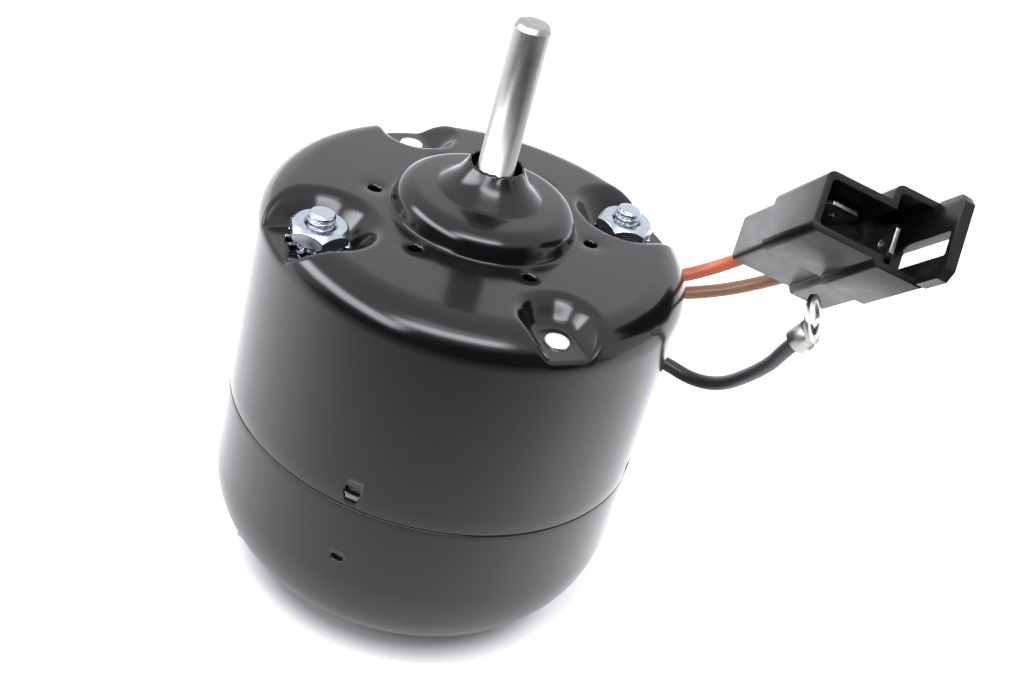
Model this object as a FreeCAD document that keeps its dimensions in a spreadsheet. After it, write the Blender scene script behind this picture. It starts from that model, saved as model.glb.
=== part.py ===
"""Cabin blower motor: a two-shell permanent-magnet motor with its leads and plug.

The origin is on the floor under the shaft, +Z runs along the shaft to its tip, the through bolts lie on the X
axis and the brush-card rivets on the Y axis. Lengths are in millimetres and angles in degrees.
"""
import FreeCAD
import Part
import math
import os
import Sketcher

Vector = FreeCAD.Vector
Rotation = FreeCAD.Rotation
Placement = FreeCAD.Placement

# Driving dimensions: name, value, meaning
DIMENSIONS = [
    ("casing_radius", 38.1, "outside of the drawn shells"),
    ("casing_wall", 1.2, "sheet thickness of both shells"),
    ("boss_height", 3.5, "rear boss below the lower shell's flat"),
    ("casing_length", 75.25, "lower shell's flat to the top plane"),
    ("upper_shell_length", 40.1, "seam to the top plane"),
    ("top_corner", 6.5, "outside radius of the top corner"),
    ("bottom_corner", 19.5, "outside radius of the bowl-shaped bottom"),
    ("front_boss_foot", 16.6, "radius where the front boss meets the top plane"),
    ("front_boss_rise", 5.0, "height of the boss's crown"),
    ("front_boss_draw", 1.5, "how far the boss's side leans in"),
    ("cone_foot", 9.6, "radius of the crease where the cone starts"),
    ("cone_rise", 10.3, "height of the cone's pierced rim"),
    ("cone_rim", 4.7, "outside radius of the pierced rim"),
    ("cone_lip", 0.5, "thickness of the pierced rim"),
    ("rear_boss_foot", 16.5, "radius where the rear boss starts"),
    ("rear_boss_flat", 12.5, "radius of the flat that it stands on"),
    ("pocket_draft", 36.0, "slope of the pockets' walls"),
    ("nut_pocket_depth", 5.0, "nut pocket below the top plane"),
    ("nut_pocket_half", 6.0, "half width of the nut pocket's floor"),
    ("nut_pocket_reach", 5.75, "nut pocket's floor inward from the bolt"),
    ("rivet_pocket_depth", 4.2, "rivet pocket below the top plane"),
    ("rivet_pocket_half", 3.9, "half width of the rivet pocket's floor"),
    ("rivet_pocket_reach", 4.9, "rivet pocket's floor inward from the rivet"),
    ("head_pocket_floor", 10.0, "height of the bolt-head pocket's floor"),
    ("head_pocket_half", 5.6, "half width of the bolt-head pocket's floor"),
    ("head_pocket_reach", 5.35, "bolt-head pocket's floor inward from the bolt"),
    ("stake_hole_circle", 19.3, "radius of the circle of small holes"),
    ("stake_hole_radius", 1.3, "small holes round the boss"),
    ("lance_length", 3.0, "lanced slots in the side wall"),
    ("lance_width", 1.6, "lanced slots in the side wall"),
    ("upper_lance_drop", 36.6, "upper slots below the top plane"),
    ("lower_lance_drop", 51.4, "lower slots below the top plane"),
    ("bolt_inset", 8.35, "through bolts inside the casing's outline"),
    ("bolt_radius", 2.38, "through bolts"),
    ("bolt_stand_out", 1.06, "bolt ends above the top plane"),
    ("bolt_head_flats", 7.94, "across the flats of the bolt heads"),
    ("bolt_head_height", 3.0, "bolt heads"),
    ("bolt_hole_play", 0.25, "radial play of the bolts in the shells"),
    ("nut_flats", 9.53, "across the flats of the nuts"),
    ("nut_height", 3.1, "nuts"),
    ("left_nut_turn", 16.0, "angle of the left nut's corners"),
    ("right_nut_turn", 40.0, "angle of the right nut's corners"),
    ("washer_height", 0.9, "tooth washers"),
    ("washer_body_radius", 4.3, "tooth washer inside its teeth"),
    ("washer_tooth_radius", 5.4, "tooth washer over its teeth"),
    ("washer_teeth", 12, "teeth of each washer"),
    ("rivet_inset", 5.9, "rivets inside the casing's outline"),
    ("rivet_head_radius", 2.25, "rivet heads"),
    ("rivet_head_height", 0.55, "rivet heads"),
    ("rivet_radius", 1.6, "rivet shanks"),
    ("shaft_radius", 3.175, "motor shaft, its free end"),
    ("journal_step", 0.3, "how much thicker the shaft is inside the casing"),
    ("journal_drop", 1.3, "thicker part of the shaft ends below the cone's rim"),
    ("shaft_tip", 36.1, "shaft end above the top plane"),
    ("shaft_foot", 2.0, "shaft's rear end above the floor"),
    ("shaft_chamfer", 0.9, "length of the chamfer at the shaft end"),
    ("shaft_chamfer_in", 0.55, "depth of the chamfer at the shaft end"),
    ("running_play", 0.025, "radial play of the shaft in its bearings"),
    ("press", 0.01, "radial interference of what is pressed on the shaft"),
    ("bearing_radius", 7.6, "sintered bearings"),
    ("bearing_length", 9.0, "sintered bearings"),
    ("bearing_round", 2.4, "rounded shoulders of the bearings"),
    ("front_bearing_rise", 3.4, "top of the front bearing above the top plane"),
    ("retainer_sheet", 0.6, "thickness of the bearing retainers"),
    ("retainer_dish", 4.0, "start of the retainers' dish beyond the bearing"),
    ("retainer_lip_rise", 0.2, "retainers' lip inside the bearing's end"),
    ("retainer_play", 0.1, "front retainer to the small holes"),
    ("rear_retainer_rim", 18.0, "outside radius of the rear retainer"),
    ("felt_play", 0.3, "play round the oil felts"),
    ("felt_seat", 0.3, "oil felts beyond the start of the dish"),
    ("felt_height", 2.4, "oil felts"),
    ("air_gap", 0.9, "magnets to the armature core"),
    ("winding_lift", 5.4, "winding ends above the bolt-head pockets"),
    ("winding_gap", 0.5, "winding ends to the commutator"),
    ("core_slots", 12, "winding slots"),
    ("slot_mouth", 0.9, "half width of a slot's mouth"),
    ("slot_root", 12.5, "radius of a slot's root"),
    ("tooth_half", 1.9, "half width of the teeth between slots"),
    ("slot_lip", 1.7, "slot's flanks end inside the core's outline"),
    ("slot_play", 0.3, "play of the winding in its slot"),
    ("end_turn_height", 6.4, "winding ends beyond the core"),
    ("end_turn_in", 7.0, "inside radius of the winding ends"),
    ("end_turn_inset", 1.9, "winding ends inside the core's outline"),
    ("commutator_radius", 11.0, "commutator"),
    ("commutator_drop", 0.65, "commutator below the brush card"),
    ("commutator_length", 11.2, "commutator"),
    ("riser_height", 2.2, "plain band at the commutator's foot"),
    ("commutator_bars", 12, "commutator bars"),
    ("bar_gap", 0.5, "gap between commutator bars"),
    ("thrust_radius", 6.0, "thrust washers"),
    ("thrust_height", 0.9, "thrust washers"),
    ("thrust_play", 0.4, "end play between thrust washer and bearing"),
    ("magnet_thickness", 11.65, "magnet arcs"),
    ("magnet_play", 0.05, "magnet arcs to the shell"),
    ("magnet_inset", 1.0, "magnets inside the core's ends"),
    ("magnet_half_angle", 62.0, "half the angle that a magnet spans"),
    ("clip_sheet", 0.8, "thickness of the magnet clips"),
    ("clip_inset", 4.0, "clips inside the magnets' ends"),
    ("clip_play", 0.1, "clip to the shell"),
    ("clip_side_play", 1.5, "angle between a clip and a magnet"),
    ("card_height", 1.6, "brush card"),
    ("card_play", 1.0, "brush card to the shell"),
    ("card_hole", 14.0, "hole in the brush card round the commutator"),
    ("card_notch_play", 0.8, "brush card's notch round the nut pocket"),
    ("brush_width", 7.2, "brushes across the shaft"),
    ("brush_height", 6.4, "brushes along the shaft"),
    ("brush_share", 0.59, "share of the holder's way that a brush fills"),
    ("brush_gap", 0.3, "brush to commutator at rest"),
    ("brush_play", 0.2, "brush in its holder, each side"),
    ("holder_sheet", 0.8, "thickness of the brush holders"),
    ("holder_gap", 1.7, "brush holders to the commutator"),
    ("holder_clear", 4.8, "brush holders to the rivets' middles"),
    ("spring_radius", 2.3, "middle of the brush springs' wire"),
    ("spring_wire", 0.25, "radius of the brush springs' wire"),
    ("spring_turns", 5, "turns of the brush springs"),
    ("spring_play", 0.1, "spring to its seats"),
    ("grommet_azimuth", -9.0, "direction in which the leads leave the casing"),
    ("lead_radius", 1.25, "insulated leads"),
    ("feed_drop", 10.4, "upper lead below the top plane"),
    ("feed_pitch", 3.5, "between the two feed leads"),
    ("earth_drop", 27.0, "earth lead below the top plane"),
    ("grommet_neck", 2.6, "grommet's neck round a lead"),
    ("grommet_flange", 3.8, "grommet's flange round a lead"),
    ("grommet_flange_height", 1.3, "grommet's flanges"),
    ("grommet_seat_play", 0.3, "inner flange to the shell"),
    ("plug_chamber_width", 12.2, "first chamber of the plug, outside"),
    ("plug_chamber_height", 10.7, "first chamber of the plug, outside"),
    ("plug_width", 22.1, "whole plug, outside"),
    ("plug_high", 8.5, "second chamber above the middle"),
    ("plug_low", 6.5, "second chamber below the middle"),
    ("plug_round", 1.6, "outside corners of the plug"),
    ("plug_sleeve", 17.2, "front sleeve of the plug"),
    ("plug_body", 30.4, "whole plug without its lock wall"),
    ("plug_step", 0.9, "step between sleeve and rear body"),
    ("plug_wall", 1.25, "wall of the plug's sleeve"),
    ("plug_depth", 14.0, "depth of the plug's mouth"),
    ("lock_wall", 1.9, "thickness of the lock wall"),
    ("lock_reach", 8.3, "lock wall beyond the sleeve"),
    ("lock_corner", 1.6, "chamfer at the lock wall's corners"),
    ("window_top", 1.9, "window above the middle"),
    ("window_bottom", 2.4, "window below the middle"),
    ("window_front", 6.8, "window beyond the sleeve"),
    ("window_back", 10.0, "window behind the sleeve's rim"),
    ("blade_width", 6.3, "blade terminals"),
    ("blade_sheet", 0.8, "blade terminals"),
    ("blade_taper", 0.9, "bevel at the blades' tips"),
    ("blade_hole", 0.9, "detent hole of the blades"),
    ("blade_hole_back", 3.6, "detent hole behind the blade's tip"),
    ("flat_blade_start", 4.2, "first blade from the plug's side"),
    ("flat_blade_lift", 2.8, "first blade above the middle"),
    ("flat_blade_back", 5.6, "first blade's tip behind the rim"),
    ("upright_blade_side", 16.1, "second blade from the plug's side"),
    ("upright_blade_lift", 0.2, "second blade's centre above the middle"),
    ("upright_blade_back", 2.6, "second blade's tip behind the rim"),
    ("plug_bore_depth", 7.0, "lead bores in the rear of the plug"),
    ("first_bore_side", 6.1, "first lead bore from the plug's side"),
    ("second_bore_side", 17.0, "second lead bore from the plug's side"),
    ("second_bore_lift", 1.0, "second lead bore above the middle"),
    ("plug_out", -0.64, "plug's reference corner from the casing's side"),
    ("plug_at_y", -36.8, "plug's reference corner from the shaft"),
    ("plug_rise", 25.27, "plug's reference corner above the top plane"),
    ("plug_yaw", -25.51, "plug's turn about Z"),
    ("plug_pitch", 13.88, "plug's turn about its own Y"),
    ("plug_roll", 45.73, "plug's turn about its own X"),
    ("earth_lead_radius", 1.35, "black lead"),
    ("barrel_radius", 2.35, "crimp barrel of the ring terminal"),
    ("barrel_length", 3.5, "crimp barrel of the ring terminal"),
    ("barrel_grip", 3.0, "length of lead in the barrel"),
    ("ring_sheet", 0.8, "ring terminal"),
    ("ring_radius", 4.3, "ring terminal"),
    ("ring_hole", 2.8, "radius of the ring terminal's hole"),
    ("ring_neck_half", 1.6, "neck of the ring terminal"),
    ("ring_neck", 0.4, "neck from the bend to the ring's edge"),
    ("ring_bend_at", 3.0, "bend from the barrel's rear end"),
    ("ring_bend", 53.3, "bend between barrel and ring"),
    ("barrel_slit", 0.4, "gap between the barrel's rolled wings"),
    ("ring_out", 9.62, "barrel's rear end from the casing's side"),
    ("ring_at_y", -33.71, "barrel's rear end from the shaft"),
    ("ring_rise", -5.91, "barrel's rear end from the top plane"),
    ("ring_yaw", 39.6, "barrel's turn about Z"),
    ("ring_pitch", -1.21, "barrel's turn about its own Y"),
    ("ring_roll", 29.71, "barrel's turn about its own X"),
]


# Sizes that carry the expression they come from
class Size:
    """A number and the sheet expression that gives it."""

    def __init__(self, value, text):
        self.value = float(value)
        self.text = text

    def __add__(self, other):
        other = as_size(other)
        return Size(self.value + other.value, f"({self.text} + {other.text})")

    def __sub__(self, other):
        other = as_size(other)
        return Size(self.value - other.value, f"({self.text} - {other.text})")

    def __mul__(self, other):
        other = as_size(other)
        return Size(self.value * other.value, f"({self.text} * {other.text})")

    def __truediv__(self, other):
        other = as_size(other)
        return Size(self.value / other.value, f"({self.text} / {other.text})")

    def __neg__(self):
        return Size(-self.value, f"(0 - {self.text})")

    def __radd__(self, other):
        return as_size(other) + self

    def __rsub__(self, other):
        return as_size(other) - self

    def __rmul__(self, other):
        return as_size(other) * self

    def __rtruediv__(self, other):
        return as_size(other) / self

    def __float__(self):
        return self.value


def as_size(number):
    """Return a plain number as a size that no cell drives."""
    if isinstance(number, Size):
        return number
    return Size(number, f"({number:.6f})")


def sine(angle):
    angle = as_size(angle)
    return Size(math.sin(math.radians(angle.value)), f"sin({angle.text})")


def cosine(angle):
    angle = as_size(angle)
    return Size(math.cos(math.radians(angle.value)), f"cos({angle.text})")


def tangent(angle):
    return sine(angle) / cosine(angle)


def is_driven(number):
    return isinstance(number, Size) and "sizes." in number.text


def bind(thing, where, size):
    """Drive one property of an object, or one constraint of a sketch, from the sheet."""
    if is_driven(size):
        thing.setExpression(where, size.text)


class Table:
    """The spreadsheet, with each row's value as an attribute."""

    def __init__(self, doc, rows):
        sheet = doc.addObject("Spreadsheet::Sheet", "sizes")
        for row, (name, value, meaning) in enumerate(rows, start=1):
            sheet.set(f"A{row}", name)
            sheet.set(f"B{row}", str(value))
            sheet.set(f"C{row}", meaning)
            sheet.setAlias(f"B{row}", name)
            setattr(self, name, Size(value, f"sizes.{name}"))


doc = FreeCAD.newDocument("blower_motor")
size = Table(doc, DIMENSIONS)
doc.recompute()

# Heights and radii that several pieces share
top = size.boss_height + size.casing_length
seam = top - size.upper_shell_length
inner_radius = size.casing_radius - size.casing_wall
bolt_offset = size.casing_radius - size.bolt_inset
rivet_offset = size.casing_radius - size.rivet_inset
tip = top + size.shaft_tip
nut_floor = top - size.nut_pocket_depth
rivet_floor = top - size.rivet_pocket_depth
card_top = rivet_floor - size.casing_wall
card_foot = card_top - size.card_height
commutator_top = card_foot - size.commutator_drop
commutator_foot = commutator_top - size.commutator_length
core_top = commutator_foot - size.winding_gap - size.end_turn_height
core_foot = size.head_pocket_floor + size.casing_wall + size.winding_lift + size.end_turn_height
core_length = core_top - core_foot
front_bearing_top = top + size.front_bearing_rise
front_bearing_foot = front_bearing_top - size.bearing_length
rear_bearing_foot = size.casing_wall
rear_bearing_top = rear_bearing_foot + size.bearing_length
magnet_outer = inner_radius - size.magnet_play
magnet_inner = magnet_outer - size.magnet_thickness
magnet_foot = core_foot + size.magnet_inset
magnet_length = core_length - 2 * size.magnet_inset
core_radius = magnet_inner - size.air_gap
dish_start = size.bearing_radius + size.retainer_dish
holder_start = size.commutator_radius + size.holder_gap
holder_end = rivet_offset - size.holder_clear
brush_front_end = size.commutator_radius + size.brush_gap
brush_length = (holder_end - size.holder_sheet - brush_front_end) * size.brush_share
grommet_seat = inner_radius - size.grommet_seat_play
feed_height = top - size.feed_drop
earth_height = top - size.earth_drop
journal_radius = size.shaft_radius + size.journal_step
bore_radius = journal_radius + size.running_play
pressed_bore = journal_radius - size.press

FAR = 60.0


# Sketching and features
def base_plane(body, role):
    return [feature for feature in body.Origin.OriginFeatures if feature.Role == role][0]


def sketch_on(body, label, role="XY_Plane", height=0.0, turn=0.0):
    """Attach a sketch to a base plane, lifted by height or turned about the shaft's axis."""
    sketch = body.newObject("Sketcher::SketchObject", label)
    sketch.AttachmentSupport = (base_plane(body, role), [""])
    sketch.MapMode = "FlatFace"
    upright = Vector(0, 0, 1) if role == "XY_Plane" else Vector(0, 1, 0)
    offset = Vector(0, 0, float(height))
    sketch.AttachmentOffset = Placement(offset, Rotation(upright, float(turn)))
    bind(sketch, "AttachmentOffset.Base.z", height)
    bind(sketch, "AttachmentOffset.Rotation.Angle", turn)
    return sketch


def hold(sketch, kind, *which, amount=None):
    """Add one constraint, driven from the sheet where its amount is."""
    if amount is None:
        sketch.addConstraint(Sketcher.Constraint(kind, *which))
        return
    index = sketch.addConstraint(Sketcher.Constraint(kind, *which, float(amount)))
    name = f"c{index}"
    sketch.renameConstraint(index, name)
    bind(sketch, f"Constraints.{name}", amount)


def hold_point(sketch, element, end, x, y):
    """Fix a point of the sketch at x, y."""
    if float(x) == 0.0:
        hold(sketch, "PointOnObject", element, end, -2)
    else:
        hold(sketch, "DistanceX", element, end, amount=x)
    if float(y) == 0.0:
        hold(sketch, "PointOnObject", element, end, -1)
    else:
        hold(sketch, "DistanceY", element, end, amount=y)


def outline(sketch, corners):
    """Draw a closed outline of corners (x, y) or (x, y, radius), where a radius rounds the corner."""
    corners = [tuple(corner) + (0.0,) * (3 - len(corner)) for corner in corners]
    points = [Vector(float(x), float(y), 0) for x, y, _ in corners]
    starts, ends, bends = [], [], []
    for index, (_, _, radius) in enumerate(corners):
        here = points[index]
        back = (points[index - 1] - here).normalize()
        ahead = (points[(index + 1) % len(points)] - here).normalize()
        if float(radius) == 0.0:
            starts.append(here)
            ends.append(here)
            bends.append(None)
            continue
        half = back.getAngle(ahead) / 2
        reach = float(radius) / math.tan(half)
        centre = here + (back + ahead).normalize() * (float(radius) / math.sin(half))
        left_turn = back.cross(ahead).z < 0
        starts.append(here + back * reach)
        ends.append(here + ahead * reach)
        bends.append((centre, left_turn))
    count = len(corners)
    lines = []
    for index in range(count):
        line = Part.LineSegment(ends[index], starts[(index + 1) % count])
        lines.append(sketch.addGeometry(line, False))
    for index, (x, y, radius) in enumerate(corners):
        before, after = lines[index - 1], lines[index]
        if bends[index] is None:
            hold(sketch, "Coincident", before, 2, after, 1)
            hold_point(sketch, after, 1, x, y)
            continue
        centre, left_turn = bends[index]
        first, last = (starts[index], ends[index]) if left_turn else (ends[index], starts[index])
        circle = Part.Circle(centre, Vector(0, 0, 1), float(radius))
        curve = Part.ArcOfCircle(circle, circle.parameter(first), circle.parameter(last))
        arc = sketch.addGeometry(curve, False)
        corner = sketch.addGeometry(Part.Point(points[index]), True)
        into, out_of = (1, 2) if left_turn else (2, 1)
        hold(sketch, "Tangent", before, 2, arc, into)
        hold(sketch, "Tangent", arc, out_of, after, 1)
        hold_point(sketch, corner, 1, x, y)
        hold(sketch, "PointOnObject", corner, 1, before)
        hold(sketch, "PointOnObject", corner, 1, after)
        hold(sketch, "Radius", arc, amount=radius)
    return sketch


def circle(sketch, x, y, radius):
    curve = Part.Circle(Vector(float(x), float(y), 0), Vector(0, 0, 1), float(radius))
    element = sketch.addGeometry(curve, False)
    hold(sketch, "Radius", element, amount=radius)
    hold_point(sketch, element, 3, x, y)
    return sketch


def box_corners(x0, x1, y0, y1, radius=0.0):
    return [(x0, y0, radius), (x1, y0, radius), (x1, y1, radius), (x0, y1, radius)]


def polygon_corners(flats, turn=0.0):
    """Corners of a hexagon of a given size across its flats."""
    reach = flats / 2 / cosine(30)
    return [(reach * cosine(turn + 60 * k), reach * sine(turn + 60 * k)) for k in range(6)]


def new_body(label):
    return doc.addObject("PartDesign::Body", label)


def turned(body, label, corners, cut=False):
    """Revolve a radius-height outline about the body's Z axis."""
    sketch = outline(sketch_on(body, label + "_outline", "XZ_Plane"), corners)
    feature = body.newObject("PartDesign::Groove" if cut else "PartDesign::Revolution", label)
    feature.Profile = sketch
    feature.ReferenceAxis = (sketch, ["V_Axis"])
    feature.Angle = 360
    return feature


def padded(body, label, sketch, length, draft=0.0, middle=False):
    feature = body.newObject("PartDesign::Pad", label)
    feature.Profile = sketch
    feature.Length = float(length)
    bind(feature, "Length", length)
    feature.TaperAngle = float(draft)
    bind(feature, "TaperAngle", draft)
    feature.Midplane = middle
    return feature


def cut_out(body, label, sketch, length, draft=0.0, forward=True, middle=False):
    """Cut a sketch's outline away, forward along its normal or backward."""
    feature = body.newObject("PartDesign::Pocket", label)
    feature.Profile = sketch
    feature.Length = float(length)
    bind(feature, "Length", length)
    feature.TaperAngle = float(draft)
    bind(feature, "TaperAngle", draft)
    feature.Reversed = forward
    feature.Midplane = middle
    return feature


def repeated(body, label, features, count, role="Z_Axis"):
    """Repeat features round the body's axis."""
    pattern = body.newObject("PartDesign::PolarPattern", label)
    pattern.Originals = features
    pattern.Axis = (base_plane(body, role), [""])
    pattern.Angle = 360
    pattern.Occurrences = int(float(count))
    bind(pattern, "Occurrences", count)
    body.Tip = pattern
    return pattern


def place(thing, x=0.0, y=0.0, z=0.0, turn=0.0):
    """Set a finished piece at x, y, z, turned about Z."""
    thing.Placement = Placement(Vector(float(x), float(y), float(z)), Rotation(Vector(0, 0, 1), float(turn)))
    for where, amount in (("Base.x", x), ("Base.y", y), ("Base.z", z), ("Rotation.Angle", turn)):
        bind(thing, "Placement." + where, amount)
    return thing


# Casing
def pocket_outline(sketch, end, half, azimuth):
    """A round-ended outline that runs out past the wall at an azimuth of 0, 90, 180 or 270 degrees."""
    out = size.casing_radius * 1.3
    radius = half * 0.86
    c = round(math.cos(math.radians(azimuth)))
    s = round(math.sin(math.radians(azimuth)))
    along = [(end, -half, radius), (out, -half), (out, half), (end, half, radius)]
    return outline(sketch, [(x * c - y * s, x * s + y * c, *rest) for x, y, *rest in along])


def pocket_form(body, label, kind, floor, opening, end, half, azimuth):
    """Loft a pocket's form from its floor to its opening, widening by the draft."""
    spread = (opening - floor) * tangent(size.pocket_draft)
    if float(spread) < 0:
        spread = -spread
    loft = body.newObject(kind, label)
    low = pocket_outline(sketch_on(body, label + "_floor", height=floor), end, half, azimuth)
    rim = sketch_on(body, label + "_rim", height=opening)
    high = pocket_outline(rim, end - spread, half + spread, azimuth)
    loft.Profile = low
    loft.Sections = [high]
    loft.Ruled = True
    return loft


def upper_envelope(reach):
    """The upper shell's outer line, from the boss's rim out to the wall."""
    return [
        (size.cone_rim, top + size.cone_rise),
        (size.cone_rim + 1.6, top + size.front_boss_rise + 2.0, 6.0),
        (size.cone_foot, top + size.front_boss_rise),
        (size.front_boss_foot - size.front_boss_draw, top + size.front_boss_rise - 0.4, 3.0),
        (size.front_boss_foot, top, 0.7),
        (size.casing_radius, top, size.top_corner),
        (size.casing_radius, reach),
    ]


def upper_lining():
    """The upper shell's inner line, from the wall in to the boss's rim."""
    wall = size.casing_wall
    crown = top + size.front_boss_rise - wall
    return [
        (inner_radius, seam),
        (inner_radius, top - wall, size.top_corner - wall),
        (size.front_boss_foot - wall, top - wall, 1.6),
        (size.front_boss_foot - size.front_boss_draw - wall, crown - 0.4, 2.0),
        (size.cone_foot - 0.6, crown),
        (size.cone_rim + 0.8, crown + 1.5, 5.0),
        (size.cone_rim - size.cone_lip, top + size.cone_rise),
    ]


def lower_envelope(reach):
    """The lower shell's outer line, from the wall in to the flat that it stands on."""
    return [
        (size.casing_radius, reach),
        (size.casing_radius, size.boss_height, size.bottom_corner),
        (size.rear_boss_foot, size.boss_height, 1.0),
        (size.rear_boss_flat, 0.0, 1.0),
    ]


def round_ended(sketch, y, half_width, half_height):
    """Draw a round-ended outline about x 0 and a given y, a circle where its halves are equal."""
    if float(half_width) == float(half_height):
        return circle(sketch, 0.0, y, half_width)
    radius = half_height if float(half_height) < float(half_width) else half_width
    corners = box_corners(-half_width, half_width, y - half_height, y + half_height, radius * 0.98)
    return outline(sketch, corners)


def side_hole(body, label, azimuth, height, half_width, half_height):
    """Cut a round-ended hole through the side wall at an azimuth."""
    sketch = sketch_on(body, label + "_outline", "XZ_Plane", turn=azimuth + 90)
    return cut_out(body, label, round_ended(sketch, height, half_width, half_height), FAR)


def ring_of_holes(body, label, x, y, radius, count=1):
    """Drill through along the shaft at x, y, and again round the circle."""
    sketch = circle(sketch_on(body, label + "_outline"), x, y, radius)
    hole = cut_out(body, label, sketch, 4 * FAR, middle=True)
    if float(count) > 1:
        repeated(body, label + "_ring", [hole], count)
    return hole


def make_upper_shell():
    body = new_body("upper_shell")
    wall = size.casing_wall
    turned(body, "upper_drawing", upper_lining() + upper_envelope(seam))
    nut_end, rivet_end = bolt_offset - size.nut_pocket_reach, rivet_offset - size.rivet_pocket_reach
    kinds = (
        ("nut", (0, 180), size.nut_pocket_depth, nut_end, size.nut_pocket_half),
        ("rivet", (90, 270), size.rivet_pocket_depth, rivet_end, size.rivet_pocket_half),
    )
    for kind, azimuths, depth, end, half in kinds:
        for azimuth in azimuths:
            name = f"{kind}_lining_{azimuth}"
            low = top - depth - size.casing_wall
            high = top - size.casing_wall / 2
            pocket_form(body, name, "PartDesign::AdditiveLoft", low, high, end - wall, half + wall, azimuth)
    far = size.casing_radius + FAR
    high = top + FAR
    beyond = [(far, seam - 5), (far, high), (size.cone_rim, high)]
    turned(body, "upper_trim", upper_envelope(seam - 5) + beyond, cut=True)
    for kind, azimuths, depth, end, half in kinds:
        for azimuth in azimuths:
            name = f"{kind}_pocket_{azimuth}"
            pocket_form(body, name, "PartDesign::SubtractiveLoft", top - depth, top + 2, end, half, azimuth)
    ring_of_holes(body, "bolt_holes", bolt_offset, 0.0, size.bolt_radius + size.bolt_hole_play, 2)
    ring_of_holes(body, "rivet_holes", 0.0, rivet_offset, size.rivet_radius, 2)
    across, along = size.stake_hole_circle * cosine(30), size.stake_hole_circle * sine(30)
    ring_of_holes(body, "stake_holes", across, along, size.stake_hole_radius, 6)
    slot = (top - size.upper_lance_drop, size.lance_length / 2, size.lance_width / 2)
    lance = side_hole(body, "lance", 45, *slot)
    repeated(body, "lances", [lance], 4)
    neck = size.grommet_neck
    feed_half = size.feed_pitch / 2 + neck
    side_hole(body, "feed_hole", size.grommet_azimuth, feed_height - size.feed_pitch / 2, neck, feed_half)
    side_hole(body, "earth_hole", size.grommet_azimuth, earth_height, neck, neck)
    return body


def make_lower_shell():
    body = new_body("lower_shell")
    wall = size.casing_wall
    lining = [
        (0.0, wall),
        (size.rear_boss_flat - wall * 0.4, wall, 0.8),
        (size.rear_boss_foot - wall * 0.4, size.boss_height + wall, 1.0),
        (inner_radius, size.boss_height + wall, size.bottom_corner - wall),
        (inner_radius, seam),
    ]
    turned(body, "lower_drawing", lining + lower_envelope(seam) + [(0.0, 0.0)])
    floor, end, half = size.head_pocket_floor, bolt_offset - size.head_pocket_reach, size.head_pocket_half
    for azimuth in (0, 180):
        lining = (floor + wall, wall, end - wall, half + wall, azimuth)
        pocket_form(body, f"head_lining_{azimuth}", "PartDesign::AdditiveLoft", *lining)
    far = size.casing_radius + FAR
    trim = lower_envelope(seam + 5) + [(0.0, 0.0), (0.0, -FAR), (far, -FAR), (far, seam + 5)]
    turned(body, "lower_trim", trim, cut=True)
    for azimuth in (0, 180):
        pocket = (floor, -2, end, half, azimuth)
        pocket_form(body, f"head_pocket_{azimuth}", "PartDesign::SubtractiveLoft", *pocket)
    ring_of_holes(body, "bolt_holes_below", bolt_offset, 0.0, size.bolt_radius + size.bolt_hole_play, 2)
    slot = (top - size.lower_lance_drop, size.lance_length * 0.4, size.lance_width * 0.45)
    lance = side_hole(body, "lower_lance", 45, *slot)
    repeated(body, "lower_lances", [lance], 2)
    return body


# Fasteners
def hexagon(body, label, flats, height, turn, chamfer_both):
    """A hexagon with the corners chamfered at its top, or at both ends."""
    padded(body, label, outline(sketch_on(body, label + "_outline"), polygon_corners(flats, turn)), height)
    reach, inside = flats / cosine(30) / 2 + 1, flats / 2 - 0.1
    slope = (reach - inside) * tangent(30)
    turned(body, label + "_top", [(inside, height), (reach, height - slope), (reach, height)], cut=True)
    if chamfer_both:
        turned(body, label + "_bottom", [(inside, 0.0), (reach, 0.0), (reach, slope)], cut=True)


def make_bolt(label, x):
    body = new_body(label)
    hexagon(body, label + "_head", size.bolt_head_flats, size.bolt_head_height, 30, False)
    shank = circle(sketch_on(body, label + "_shank_outline"), 0.0, 0.0, size.bolt_radius)
    length = top + size.bolt_stand_out - size.head_pocket_floor
    padded(body, label + "_shank", shank, length + size.bolt_head_height)
    end = length + size.bolt_head_height
    bevel = size.bolt_radius * 0.18
    corner = [(size.bolt_radius - bevel, end), (size.bolt_radius, end - bevel), (size.bolt_radius + 1, end)]
    turned(body, label + "_bevel", corner, cut=True)
    place(body, x=x, z=size.head_pocket_floor - size.bolt_head_height)


def make_nut(label, x, turn):
    body = new_body(label)
    hexagon(body, label + "_hexagon", size.nut_flats, size.nut_height, turn, True)
    bore = circle(sketch_on(body, label + "_bore_outline"), 0.0, 0.0, size.bolt_radius)
    cut_out(body, label + "_bore", bore, size.nut_height)
    place(body, x=x, z=nut_floor + size.washer_height)


def make_tooth_washer(label, x):
    body = new_body(label)
    disc = circle(sketch_on(body, label + "_disc_outline"), 0.0, 0.0, size.washer_body_radius)
    padded(body, label + "_disc", disc, size.washer_height)
    root, end = size.washer_body_radius - 0.4, size.washer_tooth_radius
    half = root * sine(180 / size.washer_teeth) * 0.6
    corners = [(root, -half), (end, -half * 0.8), (end, half * 0.8), (root, half)]
    tooth_outline = outline(sketch_on(body, label + "_tooth_outline"), corners)
    tooth = padded(body, label + "_tooth", tooth_outline, size.washer_height)
    repeated(body, label + "_teeth", [tooth], size.washer_teeth)
    ring_of_holes(body, label + "_bore", 0.0, 0.0, size.bolt_radius + size.bolt_hole_play)
    place(body, x=x, z=nut_floor)


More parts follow.
